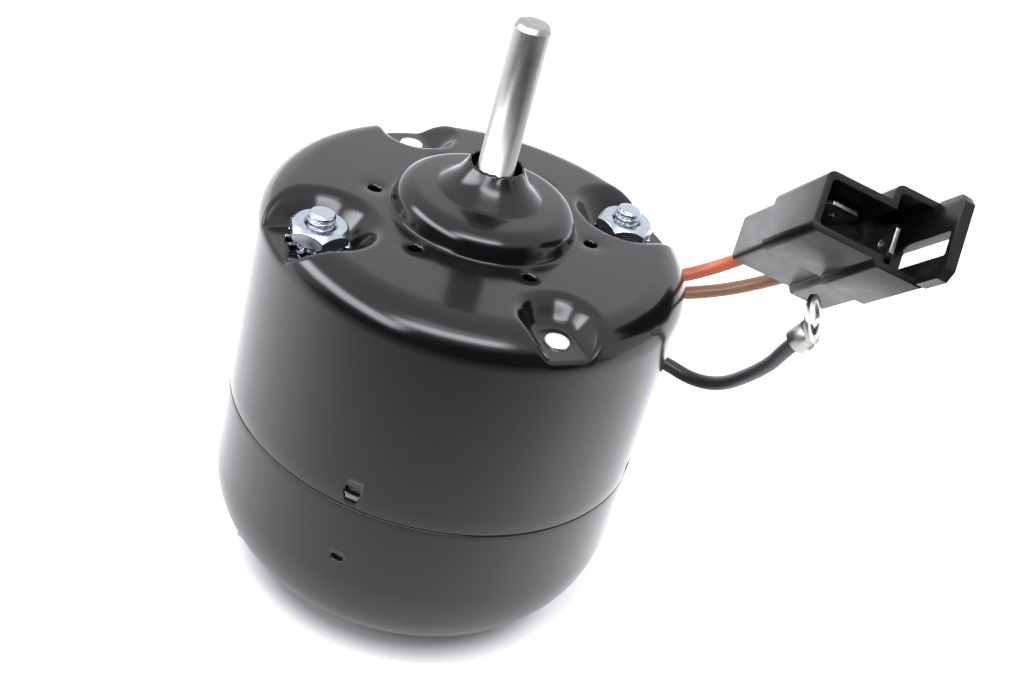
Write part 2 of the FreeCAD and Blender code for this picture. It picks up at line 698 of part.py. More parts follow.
def make_rivet(label, y):
    """A rivet from its flat head down through the shell and the brush card to its set end."""
    body = new_body(label)
    head, shank = size.rivet_head_radius, size.rivet_radius
    grip = size.casing_wall + size.card_height
    rise = size.rivet_head_height
    line = [
        (0.0, -grip - rise),
        (head * 0.9, -grip - rise, 0.3),
        (head * 0.9, -grip),
        (shank, -grip),
        (shank, 0.0),
        (head, 0.0),
        (head, rise, 0.4),
        (0.0, rise),
    ]
    turned(body, label + "_form", line)
    place(body, y=y, z=rivet_floor)


# Armature
def make_shaft():
    body = new_body("shaft")
    radius, run, inset = size.shaft_radius, size.shaft_chamfer, size.shaft_chamfer_in
    line = [
        (0.0, size.shaft_foot),
        (journal_radius - inset, size.shaft_foot),
        (journal_radius, size.shaft_foot + inset),
        (journal_radius, top + size.cone_rise - size.journal_drop),
        (radius, top + size.cone_rise - size.journal_drop + 0.1),
        (radius, tip - run),
        (radius - inset, tip, 0.3),
        (0.0, tip),
    ]
    turned(body, "shaft_form", line)


def slot_corners(play, reach):
    """A winding slot's outline, or the winding's that lies in it with play."""
    root, side = size.slot_root + play, core_radius - size.slot_lip
    spread = tangent(180 / size.core_slots)
    low = size.slot_root * spread - size.tooth_half - play
    wide, mouth = side * spread - size.tooth_half - play, size.slot_mouth
    if float(play) > 0:
        return [(root, -low), (side - play, -wide), (side - play, wide), (root, low)]
    return [
        (root, -low), (side, -wide), (side + 0.6, -mouth), (reach, -mouth),
        (reach, mouth), (side + 0.6, mouth), (side, wide), (root, low),
    ]


def make_armature_core():
    body = new_body("armature_core")
    disc = circle(sketch_on(body, "core_disc_outline", height=core_foot), 0.0, 0.0, core_radius)
    padded(body, "core_disc", disc, core_length)
    slot_sketch = sketch_on(body, "core_slot_outline", height=core_foot)
    slot = cut_out(body, "core_slot", outline(slot_sketch, slot_corners(0.0, core_radius + 1)), core_length)
    repeated(body, "core_slot_ring", [slot], size.core_slots)
    ring_of_holes(body, "core_bore", 0.0, 0.0, pressed_bore)


def make_armature_windings():
    """The wire in the slots, one mass with its two rings of end turns."""
    body = new_body("armature_windings")
    inner, outer, rise = size.end_turn_in, core_radius - size.end_turn_inset, size.end_turn_height
    for label, near, far in (("lower", core_foot, core_foot - rise), ("upper", core_top, core_top + rise)):
        ring = [(inner, near), (outer, near), (outer, far, 2.6), (inner, far, 1.2)]
        if label == "lower":
            turned(body, label + "_end_turns", ring)
    wire_sketch = sketch_on(body, "slot_wire_outline", height=core_foot)
    wire = padded(body, "slot_wire", outline(wire_sketch, slot_corners(size.slot_play, 0.0)), core_length)
    repeated(body, "slot_wires", [wire], size.core_slots)
    turned(body, "upper_end_turns", ring)


def make_commutator():
    body = new_body("commutator")
    foot, radius = commutator_foot, size.commutator_radius
    line = [
        (pressed_bore, foot), (radius, foot), (radius, commutator_top, 0.4), (pressed_bore, commutator_top),
    ]
    turned(body, "commutator_form", line)
    gap_sketch = sketch_on(body, "bar_gap_outline", height=foot + size.riser_height)
    corners = box_corners(radius - 0.8, radius + 1, -size.bar_gap / 2, size.bar_gap / 2)
    gap = cut_out(body, "bar_gap_cut", outline(gap_sketch, corners), size.commutator_length)
    repeated(body, "bar_gaps", [gap], size.commutator_bars)


def make_thrust_washer(label, foot):
    body = new_body(label)
    line = [(pressed_bore, 0.0), (size.thrust_radius, 0.0), (size.thrust_radius, size.thrust_height),
            (pressed_bore, size.thrust_height)]
    turned(body, label + "_form", line)
    place(body, z=foot)


# Bearings
def make_bearing(label, foot):
    body = new_body(label)
    outer, high, shoulder = size.bearing_radius, size.bearing_length, size.bearing_round
    line = [(bore_radius, 0.0), (outer, 0.0, shoulder), (outer, high, shoulder), (bore_radius, high)]
    turned(body, label + "_form", line)
    place(body, z=foot)


def make_retainer(label, rim, seat, shoulder, down):
    """A dished ring from a flat rim on the shell to the bearing's shoulder."""
    body = new_body(label)
    sheet = size.retainer_sheet if down else -size.retainer_sheet
    lip = size.bearing_radius - size.bearing_round * 0.45
    line = [
        (rim, seat), (dish_start, seat), (lip, shoulder),
        (lip, shoulder - sheet), (dish_start + 0.3, seat - sheet), (rim, seat - sheet),
    ]
    turned(body, label + "_form", line)


def make_felt(label, foot):
    body = new_body(label)
    inner = size.bearing_radius + size.felt_play
    outer = dish_start + size.felt_seat
    line = [(inner, 0.0), (outer, 0.0), (outer, size.felt_height), (inner, size.felt_height)]
    turned(body, label + "_form", line)
    place(body, z=foot)


# Field
def make_arc_piece(label, foot, length, inner, outer, middle, half_angle):
    """A block between two radii, spanning half_angle each side of a middle azimuth."""
    body = new_body(label)
    line = [(inner, foot), (outer, foot), (outer, foot + length), (inner, foot + length)]
    sketch = outline(sketch_on(body, label + "_outline", "XZ_Plane"), line)
    feature = body.newObject("PartDesign::Revolution", label + "_arc")
    feature.Profile = sketch
    feature.ReferenceAxis = (sketch, ["V_Axis"])
    feature.Angle = float(half_angle * 2)
    bind(feature, "Angle", half_angle * 2)
    feature.Midplane = True
    place(body, turn=middle)
    return body


# Brush gear
def make_brush_card():
    body = new_body("brush_card")
    disc = circle(sketch_on(body, "card_outline", height=card_foot), 0.0, 0.0, inner_radius - size.card_play)
    padded(body, "card_disc", disc, size.card_height)
    ring_of_holes(body, "card_hole_cut", 0.0, 0.0, size.card_hole)
    ring_of_holes(body, "card_rivet_holes", 0.0, rivet_offset, size.rivet_radius, 2)
    spread = size.nut_pocket_depth * tangent(size.pocket_draft) + size.casing_wall + size.card_notch_play
    end, half = bolt_offset - size.nut_pocket_reach - spread, size.nut_pocket_half + spread
    corners = box_corners(end, inner_radius + 2, -half, half)
    notch_outline = outline(sketch_on(body, "card_notch_outline"), corners)
    notch = cut_out(body, "card_notch", notch_outline, FAR * 4, middle=True)
    repeated(body, "card_notches", [notch], 2)


def make_brush_holder(label, turn):
    """A folded sheet box under the card, open towards the commutator."""
    body = new_body(label)
    channel_half = size.brush_width / 2 + size.brush_play
    sheet = size.holder_sheet
    height = size.brush_height + 2 * size.brush_play
    foot = card_foot - height - 2 * sheet
    outer_half = channel_half + sheet
    plan = outline(sketch_on(body, label + "_plan", height=foot),
                   box_corners(holder_start, holder_end, -outer_half, outer_half, 0.6))
    padded(body, label + "_box", plan, height + 2 * sheet)
    way = outline(sketch_on(body, label + "_way_plan", height=foot + sheet),
                  box_corners(holder_start - 2, holder_end - sheet, -channel_half, channel_half))
    cut_out(body, label + "_way", way, height)
    place(body, turn=turn)


def brush_foot():
    return card_foot - size.holder_sheet - size.brush_play - size.brush_height


def make_brush(label, turn):
    """A carbon block whose end follows the commutator's curve."""
    body = new_body(label)
    start = size.commutator_radius - 2.5
    end = brush_front_end + brush_length
    half = size.brush_width / 2
    plan = sketch_on(body, label + "_plan", height=brush_foot())
    outline(plan, box_corners(start, end, -half, half))
    padded(body, label + "_block", plan, size.brush_height)
    face = circle(sketch_on(body, label + "_face_outline", height=brush_foot()), 0.0, 0.0,
                  brush_front_end)
    cut_out(body, label + "_face", face, size.brush_height)
    place(body, turn=turn)


def make_brush_spring(label, turn):
    """A coil spring from the brush's end to the holder's back."""
    body = new_body(label)
    start = brush_front_end + brush_length + size.spring_play + size.spring_wire
    end = holder_end - size.holder_sheet - size.spring_play - size.spring_wire
    wire = circle(sketch_on(body, label + "_wire", "XZ_Plane"), size.spring_radius, 0.0, size.spring_wire)
    coil = body.newObject("PartDesign::AdditiveHelix", label + "_coil")
    coil.Profile = wire
    coil.ReferenceAxis = (wire, ["V_Axis"])
    coil.Mode = "height-turns-angle"
    coil.Height = float(end - start)
    bind(coil, "Height", end - start)
    coil.Turns = size.spring_turns.value
    bind(coil, "Turns", size.spring_turns)
    middle = brush_foot() + size.brush_height / 2
    angle = float(turn)
    outward = Rotation(Vector(0, 0, 1), angle) * Rotation(Vector(0, 1, 0), 90)
    x, y = start * cosine(angle), start * sine(angle)
    body.Placement = Placement(Vector(float(x), float(y), float(middle)), outward)
    bind(body, "Placement.Base.x", x)
    bind(body, "Placement.Base.y", y)
    bind(body, "Placement.Base.z", middle)


# Leads and their ends
def make_grommet(label, height, spread, lead_offsets, lead):
    """A rubber grommet: two flanges and a neck in the wall, with a bore for each lead."""
    body = new_body(label)
    rise, flange = size.grommet_flange_height, size.grommet_flange
    layers = (
        ("inner", grommet_seat - rise, rise, flange - 0.4),
        ("neck", grommet_seat, size.casing_radius - grommet_seat, size.grommet_neck),
        ("outer", size.casing_radius, rise, flange),
    )
    for name, start, depth, radius in layers:
        sketch = sketch_on(body, f"{label}_{name}_outline", height=start)
        padded(body, f"{label}_{name}", round_ended(sketch, 0.0, radius, spread / 2 + radius), depth)
    for index, offset in enumerate(lead_offsets):
        bore = circle(sketch_on(body, f"{label}_bore_{index}_outline"), 0.0, offset, lead)
        cut_out(body, f"{label}_bore_{index}", bore, FAR)
    azimuth = size.grommet_azimuth.value
    outward = Rotation(Vector(0, 0, 1), azimuth + 90) * Rotation(Vector(1, 0, 0), 90)
    body.Placement = Placement(Vector(0, 0, float(height)), outward)
    bind(body, "Placement.Base.z", height)


def plug_frame():
    """The plug's placement: x across its chambers, y up, z out of its mouth."""
    x, y, z = size.casing_radius + size.plug_out, size.plug_at_y, top + size.plug_rise
    corner = Vector(float(x), float(y), float(z))
    return Placement(corner, Rotation(size.plug_yaw.value, size.plug_pitch.value, size.plug_roll.value))


def seat_in_plug(body):
    body.Placement = plug_frame()
    bind(body, "Placement.Base.x", size.casing_radius + size.plug_out)
    bind(body, "Placement.Base.y", size.plug_at_y)
    bind(body, "Placement.Base.z", top + size.plug_rise)


def ring_frame():
    """The ring terminal's placement: z along its barrel from the rear end, y where the ring bends to."""
    x, y, z = size.casing_radius + size.ring_out, size.ring_at_y, top + size.ring_rise
    corner = Vector(float(x), float(y), float(z))
    return Placement(corner, Rotation(size.ring_yaw.value, size.ring_pitch.value, size.ring_roll.value))


def make_ring_terminal():
    """A rolled barrel, the strip that runs on from its floor, and the ring bent up from it."""
    body = new_body("ring_terminal")
    radius, sheet, bend, half = size.barrel_radius, size.ring_sheet, size.ring_bend, size.ring_neck_half
    shell = sketch_on(body, "barrel_outline")
    padded(body, "barrel", circle(shell, 0.0, 0.0, radius), size.barrel_length)
    bore = sketch_on(body, "barrel_bore_outline")
    cut_out(body, "barrel_bore", circle(bore, 0.0, 0.0, size.earth_lead_radius), size.barrel_length)
    slit_half = size.barrel_slit / 2
    slit = sketch_on(body, "barrel_slit_outline")
    outline(slit, box_corners(-slit_half, slit_half, 0.6, radius + 1))
    cut_out(body, "barrel_slit", slit, size.barrel_length)
    along, aside = cosine(bend), sine(bend)
    foot, fold = size.ring_bend_at, sheet * tangent(bend / 2)
    length = size.ring_neck + 0.8
    end_y, end_z = length * aside - radius, foot + length * along
    side = [
        (-radius, size.barrel_length / 2),
        (-radius, foot, 0.9),
        (end_y, end_z),
        (end_y + sheet * along, end_z - sheet * aside),
        (sheet - radius, foot - fold, 0.1),
        (sheet - radius, size.barrel_length / 2),
    ]
    padded(body, "neck", outline(sketch_on(body, "neck_outline", "YZ_Plane"), side), half * 2, middle=True)
    face = body.newObject("Sketcher::SketchObject", "ring_outline")
    face.AttachmentSupport = (base_plane(body, "XY_Plane"), [""])
    face.MapMode = "FlatFace"
    low_y, low_z = sheet * along - radius, foot - sheet * aside
    leaning = Rotation(Vector(1, 0, 0), float(90 - bend))
    face.AttachmentOffset = Placement(Vector(0, float(low_y), float(low_z)), leaning)
    bind(face, "AttachmentOffset.Base.y", low_y)
    bind(face, "AttachmentOffset.Base.z", low_z)
    bind(face, "AttachmentOffset.Rotation.Angle", 90 - bend)
    centre = size.ring_neck + size.ring_radius
    circle(face, 0.0, centre, size.ring_radius)
    circle(face, 0.0, centre, size.ring_hole)
    padded(body, "ring", face, sheet)
    body.Placement = ring_frame()
    bind(body, "Placement.Base.x", size.casing_radius + size.ring_out)
    bind(body, "Placement.Base.y", size.ring_at_y)
    bind(body, "Placement.Base.z", top + size.ring_rise)


def plug_section(inset, lock_inset):
    """The plug's stepped section, drawn in by an inset."""
    half = size.plug_chamber_height / 2
    joint = size.plug_chamber_width
    right = size.plug_width - lock_inset
    radius = size.plug_round - inset * 0.6
    small = radius * 0.5
    return [
        (inset, -half + inset, radius),
        (joint + inset, -half + inset, small * 0.6),
        (joint + inset + 0.6, -size.plug_low + inset, small),
        (right, -size.plug_low + inset, small),
        (right, size.plug_high - inset, small),
        (joint + inset, size.plug_high - inset, radius),
        (joint + inset, half - inset, small * 0.6),
        (inset, half - inset, radius),
    ]


def make_connector_housing():
    """The moulded housing: rear body, sleeve, mouth, windowed lock wall and lead bores."""
    body = new_body("connector_housing")
    sleeve, whole = size.plug_sleeve, size.plug_body
    rear = sketch_on(body, "rear_section", height=-whole)
    padded(body, "rear_body", outline(rear, plug_section(size.plug_step, size.plug_step)), whole - sleeve)
    front = sketch_on(body, "sleeve_section", height=-sleeve)
    padded(body, "sleeve", outline(front, plug_section(0.0, 0.0)), sleeve)
    right, cut = size.plug_width, size.lock_corner
    wall_sketch = sketch_on(body, "lock_wall_outline", "YZ_Plane", height=right - size.lock_wall)
    low, high, reach = -size.plug_low, size.plug_high, size.lock_reach
    small = size.plug_round * 0.5
    corners = [
        (low + small, -sleeve / 2), (low + small, 0.0), (low, small),
        (low, reach - cut), (low + cut, reach), (high - cut, reach), (high, reach - cut),
        (high, small), (high - small, 0.0), (high - small, -sleeve / 2),
    ]
    padded(body, "lock_wall", outline(wall_sketch, corners), size.lock_wall)
    mouth = sketch_on(body, "mouth_section", height=-size.plug_depth)
    outline(mouth, plug_section(size.plug_wall, size.lock_wall))
    cut_out(body, "mouth", mouth, size.plug_depth + 0.01)
    window = sketch_on(body, "window_outline", "YZ_Plane", height=right - size.lock_wall - 0.5)
    corners = box_corners(-size.window_bottom, size.window_top, -size.window_back, size.window_front, 0.5)
    cut_out(body, "window", outline(window, corners), size.lock_wall + 2)
    bores = sketch_on(body, "lead_bores_outline", height=-whole)
    circle(bores, size.first_bore_side, 0.0, size.lead_radius)
    circle(bores, size.second_bore_side, size.second_bore_lift, size.lead_radius)
    cut_out(body, "lead_bores", bores, size.plug_bore_depth)
    slots = sketch_on(body, "blade_slots_outline", height=-whole + size.plug_bore_depth)
    outline(slots, flat_blade_section())
    outline(slots, upright_blade_section())
    cut_out(body, "blade_slots", slots, whole)
    seat_in_plug(body)


def flat_blade_section():
    lift, half = size.flat_blade_lift, size.blade_sheet / 2
    start = size.flat_blade_start
    return box_corners(start, start + size.blade_width, lift - half, lift + half)


def upright_blade_section():
    side, half = size.upright_blade_side, size.blade_sheet / 2
    low, high = size.upright_blade_lift - size.blade_width / 2, size.upright_blade_lift + size.blade_width / 2
    return box_corners(side - half, side + half, low, high)


def make_blade(label, section, back, middle, role):
    """A flat blade with a bevelled tip and a detent hole."""
    body = new_body(label)
    foot = -size.plug_body + size.plug_bore_depth
    length = size.plug_body - size.plug_bore_depth - back
    padded(body, label + "_strip", outline(sketch_on(body, label + "_section", height=foot), section), length)
    half, taper = size.blade_width / 2, size.blade_taper
    for side in (-1, 1):
        tip_sketch = sketch_on(body, f"{label}_bevel_{side}_outline", role)
        edge = middle + side * half
        inner = edge - side * taper
        outer = edge + side
        outline(tip_sketch, [
            (edge, -back - taper), (outer, -back - taper), (outer, -back + 1),
            (inner, -back + 1), (inner, -back),
        ])
        cut_out(body, f"{label}_bevel_{side}", tip_sketch, FAR * 2, middle=True)
    detent = sketch_on(body, label + "_detent_outline", role)
    circle(detent, middle, -back - size.blade_hole_back, size.blade_hole)
    cut_out(body, label + "_detent", detent, FAR * 2, middle=True)
    seat_in_plug(body)


def cord_shape(points, radius):
    """A round cord of straight runs joined by arcs as large as the runs allow; also prints the bend radii."""
    ends = [points[0]]
    bends, radii = [], []
    for back, here, ahead in zip(points, points[1:], points[2:]):
        into, out_of = (back - here), (ahead - here)
        run = min(into.Length, out_of.Length)
        half_turn = (math.pi - into.getAngle(out_of)) / 2
        reach = 0.45 * run
        bend = reach / math.tan(half_turn)
        into.normalize()
        out_of.normalize()
        centre = here + (into + out_of).normalize() * (bend / math.cos(half_turn))
        middle = centre + (here - centre).normalize() * bend
        bends.append((here + into * reach, middle, here + out_of * reach))
        radii.append(round(bend, 1))
    ends.append(points[-1])
    edges, last = [], ends[0]
    for start, middle, stop in bends:
        edges.append(Part.LineSegment(last, start).toShape())
        edges.append(Part.Arc(start, middle, stop).toShape())
        last = stop
    edges.append(Part.LineSegment(last, ends[1]).toShape())
    spine = Part.Wire(edges)
    ring = Part.Wire([Part.Circle(points[0], points[1] - points[0], radius).toShape()])
    solid = spine.makePipeShell([ring], True, True)
    return solid, radii, spine.Length


def make_cord(label, points, radius):
    shape, radii, length = cord_shape(points, radius.value)
    cord = doc.addObject("Part::Feature", label)
    cord.Shape = shape
    expected = math.pi * radius.value ** 2 * length
    print(f"{label}: length {length:.1f} mm, bend radii {radii}, volume {shape.Volume:.1f} of {expected:.1f}")
    return cord


def outward(radius, height):
    """A point at a radius on the grommets' azimuth."""
    angle = math.radians(size.grommet_azimuth.value)
    return Vector(radius * math.cos(angle), radius * math.sin(angle), float(height))


def in_plug(across, up, out):
    return plug_frame().multVec(Vector(float(across), float(up), float(out)))


def beside(out, y, rise):
    """A point beside the casing, given from its side and its top plane."""
    return Vector(size.casing_radius.value + out, y, top.value + rise)


def make_leads():
    wall = size.casing_radius.value + size.grommet_flange_height.value
    bore_end = -size.plug_body + size.plug_bore_depth
    entry = -size.plug_body.value
    inside = inner_radius.value - 5.9
    first, second, lift = size.first_bore_side, size.second_bore_side, size.second_bore_lift
    orange = [
        outward(inside, feed_height),
        outward(wall + 0.5, feed_height),
        beside(7.1, -8.2, -7.4),
        beside(10.1, -12.2, -2.6),
        in_plug(first, 0.0, entry - 1.0),
        in_plug(first, 0.0, bore_end),
    ]
    brown = [
        outward(inside, feed_height - size.feed_pitch),
        outward(wall + 1.0, feed_height - size.feed_pitch),
        beside(10.3, -9.3, -11.6),
        beside(15.9, -13.0, -7.6),
        in_plug(second, lift, entry - 2.5),
        in_plug(second, lift, bore_end),
    ]
    black = [
        outward(inside, earth_height),
        outward(wall + 0.3, earth_height),
        beside(9.7, -16.8, -29.2),
        beside(9.7, -29.2, -15.2),
        ring_frame().multVec(Vector(0, 0, -1.5)),
        ring_frame().multVec(Vector(0, 0, size.barrel_grip.value)),
    ]
    make_cord("lead_orange", orange, size.lead_radius)
    make_cord("lead_brown", brown, size.lead_radius)
    make_cord("lead_black", black, size.earth_lead_radius)


def finish():
    """Check every object, then write each piece to its own file."""
    doc.recompute()
    failed = [thing.Label for thing in doc.Objects if {"Invalid", "Error"} & set(thing.State)]
    pieces = [thing for thing in doc.Objects if thing.TypeId in ("PartDesign::Body", "Part::Feature")]
    for piece in pieces:
        if piece.Shape.isNull() or not piece.Shape.isValid():
            failed.append(piece.Label)
    if failed:
        raise RuntimeError("these objects failed: " + ", ".join(failed))
    os.makedirs("parts", exist_ok=True)
    for piece in pieces:
        piece.Shape.exportStep(f"parts/{piece.Label}.step")
    print(len(pieces), "pieces written")


make_upper_shell()
make_lower_shell()
for side, sign, turn in (("left", -1, size.left_nut_turn), ("right", 1, size.right_nut_turn)):
    make_bolt(f"bolt_{side}", sign * bolt_offset)
    make_nut(f"nut_{side}", sign * bolt_offset, turn)
    make_tooth_washer(f"tooth_washer_{side}", sign * bolt_offset)
make_rivet("rivet_front", -rivet_offset)
make_rivet("rivet_back", rivet_offset)
make_shaft()
make_armature_core()
make_armature_windings()
make_commutator()
make_thrust_washer("front_thrust_washer", front_bearing_foot - size.thrust_play - size.thrust_height)
make_thrust_washer("rear_thrust_washer", rear_bearing_top + size.thrust_play)
make_bearing("front_bearing", front_bearing_foot)
make_bearing("rear_bearing", rear_bearing_foot)
front_rim = size.stake_hole_circle - size.stake_hole_radius - size.retainer_play
lip_rise = size.retainer_lip_rise
make_retainer("front_retainer", front_rim, top - size.casing_wall, front_bearing_foot + lip_rise, True)
rear_seat = size.boss_height + size.casing_wall
make_retainer("rear_retainer", size.rear_retainer_rim, rear_seat, rear_bearing_top - lip_rise, False)
make_felt("front_felt", top - size.casing_wall)
make_felt("rear_felt", size.casing_wall + 0.2)
clip_outer = inner_radius - size.clip_play
clip_inner = clip_outer - size.clip_sheet
clip_foot, clip_length = magnet_foot + size.clip_inset, magnet_length - 2 * size.clip_inset
clip_half_angle = 90 - size.magnet_half_angle - size.clip_side_play
for side, middle in (("left", 180), ("right", 0)):
    label = f"magnet_clip_{side}"
    make_arc_piece(label, clip_foot, clip_length, clip_inner, clip_outer, middle, clip_half_angle)
for side, middle in (("front", -90), ("back", 90)):
    make_arc_piece(f"magnet_{side}", magnet_foot, magnet_length, magnet_inner, magnet_outer, middle,
                   size.magnet_half_angle)
    make_brush_holder(f"brush_holder_{side}", middle)
    make_brush(f"brush_{side}", middle)
    make_brush_spring(f"brush_spring_{side}", middle)
make_brush_card()
feed_half = size.feed_pitch / 2
feed_offsets = (feed_half, -feed_half)
make_grommet("feed_grommet", feed_height - feed_half, size.feed_pitch, feed_offsets, size.lead_radius)
make_grommet("earth_grommet", earth_height, 0.0, (0.0,), size.earth_lead_radius)
make_connector_housing()
flat_middle = size.flat_blade_start + size.blade_width / 2
make_blade("blade_terminal_flat", flat_blade_section(), size.flat_blade_back, flat_middle, "XZ_Plane")
upright_middle = size.upright_blade_lift
upright_section = upright_blade_section()
make_blade("blade_terminal_upright", upright_section, size.upright_blade_back, upright_middle, "YZ_Plane")
make_ring_terminal()
make_leads()
finish()
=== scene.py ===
"""Looks of the cabin blower motor: camera, leads, drawn casing, fasteners, plug, materials and light."""
import bmesh
import bpy
import math
import numpy as np
from mathutils import Euler, Matrix, Vector


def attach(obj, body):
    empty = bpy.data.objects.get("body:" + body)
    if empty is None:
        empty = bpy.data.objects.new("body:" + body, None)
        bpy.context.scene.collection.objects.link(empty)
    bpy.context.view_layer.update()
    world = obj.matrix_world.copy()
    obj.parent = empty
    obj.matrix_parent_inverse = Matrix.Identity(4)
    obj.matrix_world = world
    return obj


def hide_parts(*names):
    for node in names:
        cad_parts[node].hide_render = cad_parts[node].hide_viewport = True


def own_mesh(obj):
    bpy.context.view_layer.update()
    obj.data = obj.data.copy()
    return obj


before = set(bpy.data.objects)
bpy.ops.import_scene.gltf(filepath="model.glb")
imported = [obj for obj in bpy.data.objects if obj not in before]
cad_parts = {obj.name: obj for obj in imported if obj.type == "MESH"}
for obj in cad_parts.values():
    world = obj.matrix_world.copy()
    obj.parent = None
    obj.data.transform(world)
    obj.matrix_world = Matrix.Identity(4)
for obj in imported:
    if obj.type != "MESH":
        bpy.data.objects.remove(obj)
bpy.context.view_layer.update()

MM = 0.001
BODY = "casing"

# Sizes shared by several pieces, in millimetres and degrees
TOP = 78.75
CASING_RADIUS = 38.1
CASING_WALL = 1.2
SEAM = -40.1
BOLT_OFFSET = 29.75
BOLT_WAY = 2.63
RIVET_OFFSET = 32.2
RIVET_WAY = 1.6
STAKE_OFFSET = 19.3
STAKE_AZIMUTHS = range(30, 360, 60)
NUT_ACROSS = 9.53
NUT_FLOOR = TOP - 5.0
SHAFT_RADIUS = 3.175
JOURNAL_RADIUS = 3.475
JOURNAL_TOP = TOP + 9.0
SHAFT_TIP = TOP + 36.1
LEAD_RADIUS = 1.25
EARTH_LEAD_RADIUS = 1.35
LEAD_START = 31.0
OUTSIDE = CASING_RADIUS + 1.3
GROMMET_AZIMUTH = -9
FEED_HEIGHT = TOP - 10.4
FEED_PITCH = 3.5
EARTH_HEIGHT = TOP - 27.0


# Camera
def make_camera():
    lens = bpy.data.cameras.new("camera")
    lens.lens = 54.188
    lens.sensor_width = 36.0
    lens.clip_start = 0.01
    camera = bpy.data.objects.new("camera", lens)
    camera.location = (-0.122009, -0.203250, 0.204296)
    camera.rotation_euler = (0.991399, -0.239230, -0.432806)
    bpy.context.scene.collection.objects.link(camera)
    bpy.context.scene.camera = camera


# Placements that the plug and the ring terminal share with their pieces
def placed(x, y, z, yaw, pitch, roll):
    turn = Euler((math.radians(roll), math.radians(pitch), math.radians(yaw)), "XYZ")
    return Matrix.Translation(Vector((x, y, z)) * MM) @ turn.to_matrix().to_4x4()


PLUG = placed(37.46, -36.8, TOP + 25.27, -25.51, 13.88, 45.73)
RING = placed(47.72, -33.71, TOP - 5.91, 39.6, -1.21, 29.71)


# Mesh helpers
def link(name, mesh, material, body=BODY, smooth=True):
    """Make an object of one material that rides on a body."""
    obj = bpy.data.objects.new(name, mesh)
    bpy.context.scene.collection.objects.link(obj)
    mesh.materials.clear()
    mesh.materials.append(material)
    if smooth:
        smooth_faces(mesh)
    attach(obj, body)
    return obj


def smooth_faces(mesh):
    for face in mesh.polygons:
        face.use_smooth = True


def grid_mesh(name, points, cap_start=False, cap_end=False):
    """A closed tube from rings of points (rings, columns, 3) in millimetres."""
    rows, columns, _ = points.shape
    mesh = bpy.data.meshes.new(name)
    faces = []
    for row in range(rows - 1):
        for column in range(columns):
            after = (column + 1) % columns
            here, below = row * columns, (row + 1) * columns
            faces.append((here + column, here + after, below + after, below + column))
    if cap_start:
        faces.append(tuple(range(columns))[::-1])
    if cap_end:
        faces.append(tuple(range((rows - 1) * columns, rows * columns)))
    mesh.from_pydata((points.reshape(-1, 3) * MM).tolist(), [], faces)
    mesh.update()
    return mesh


def rounded_line(corners, arc_step, run_step):
    """Sample a line of (r, z, rounding) corners, with arcs at the corners."""
    corners = [tuple(corner) + (0.0,) * (3 - len(corner)) for corner in corners]
    points = [np.array(corner[:2], float) for corner in corners]
    line = [points[0]]
    for index in range(1, len(points)):
        here, radius = points[index], corners[index][2]
        stop = here
        arc = []
        if radius > 0 and index + 1 < len(points):
            back = points[index - 1] - here
            ahead = points[index + 1] - here
            back /= np.linalg.norm(back)
            ahead /= np.linalg.norm(ahead)
            half = math.acos(float(np.clip(back @ ahead, -1, 1))) / 2
            reach = radius / math.tan(half)
            middle = (back + ahead) / np.linalg.norm(back + ahead)
            centre = here + middle * radius / math.sin(half)
            stop = here + back * reach
            first, final = stop - centre, here + ahead * reach - centre
            sweep = math.pi - 2 * half
            count = max(2, int(math.ceil(radius * sweep / arc_step)))
            for k in range(1, count + 1):
                share = k / count
                bent = first * math.sin((1 - share) * sweep) + final * math.sin(share * sweep)
                arc.append(centre + bent / math.sin(sweep))
        start = line[-1]
        count = max(1, int(round(np.linalg.norm(stop - start) / run_step)))
        for k in range(1, count + 1):
            line.append(start + (stop - start) * k / count)
        line.extend(arc)
    return np.array(line)


def rings(line, angle, centre=(0.0, 0.0)):
    """Rings of points for a line of (r, z), at the angles given about a vertical axis."""
    rows = np.empty((len(line), len(angle), 3))
    rows[..., 0] = centre[0] + line[:, 0:1] * np.cos(angle)
    rows[..., 1] = centre[1] + line[:, 0:1] * np.sin(angle)
    rows[..., 2] = line[:, 1:2]
    return rows


def turned(line, count, centre=(0.0, 0.0)):
    """Rings of points for a line of (r, z), evenly spaced."""
    return rings(line, np.arange(count) * 2 * math.pi / count, centre)


def soft_lower(a, b, k):
    """The lower of two heights, blended over k."""
    share = np.clip(0.5 + 0.5 * (b - a) / k, 0, 1)
    return b * (1 - share) + a * share - k * share * (1 - share)


def soft_upper(a, b, k):
    return -soft_lower(-a, -b, k)


def strip_distance(x, y, azimuth, end, half, nose):
    """Distance outside a round-ended strip that runs outward from a radius at an azimuth."""
    turn = math.radians(azimuth)
    along = x * math.cos(turn) + y * math.sin(turn)
    across = np.abs(-x * math.sin(turn) + y * math.cos(turn))
    before, beside = end + nose - along, across - (half - nose)
    outside = np.hypot(np.maximum(before, 0), np.maximum(beside, 0))
    return outside + np.minimum(np.maximum(before, beside), 0) - nose


def casing_angles():
    """Angles round the casing, closer together across the four pockets."""
    count, fine_count, pocket_edge, fade = 440, 4000, 19, 2.5
    fine = np.linspace(0, 2 * math.pi, fine_count + 1)
    offset = np.abs((np.degrees(fine[:-1]) + 45) % 90 - 45)
    weight = 1.0 + 1.6 / (1 + np.exp((offset - pocket_edge) / fade))
    total = np.concatenate([[0], np.cumsum(weight)])
    return np.interp(np.linspace(0, total[-1], count + 1)[:-1], total, fine)


def weld(work, distance=0.001):
    """Join the points of a mesh that lie within a distance in millimetres."""
    bmesh.ops.remove_doubles(work, verts=work.verts, dist=distance * MM)


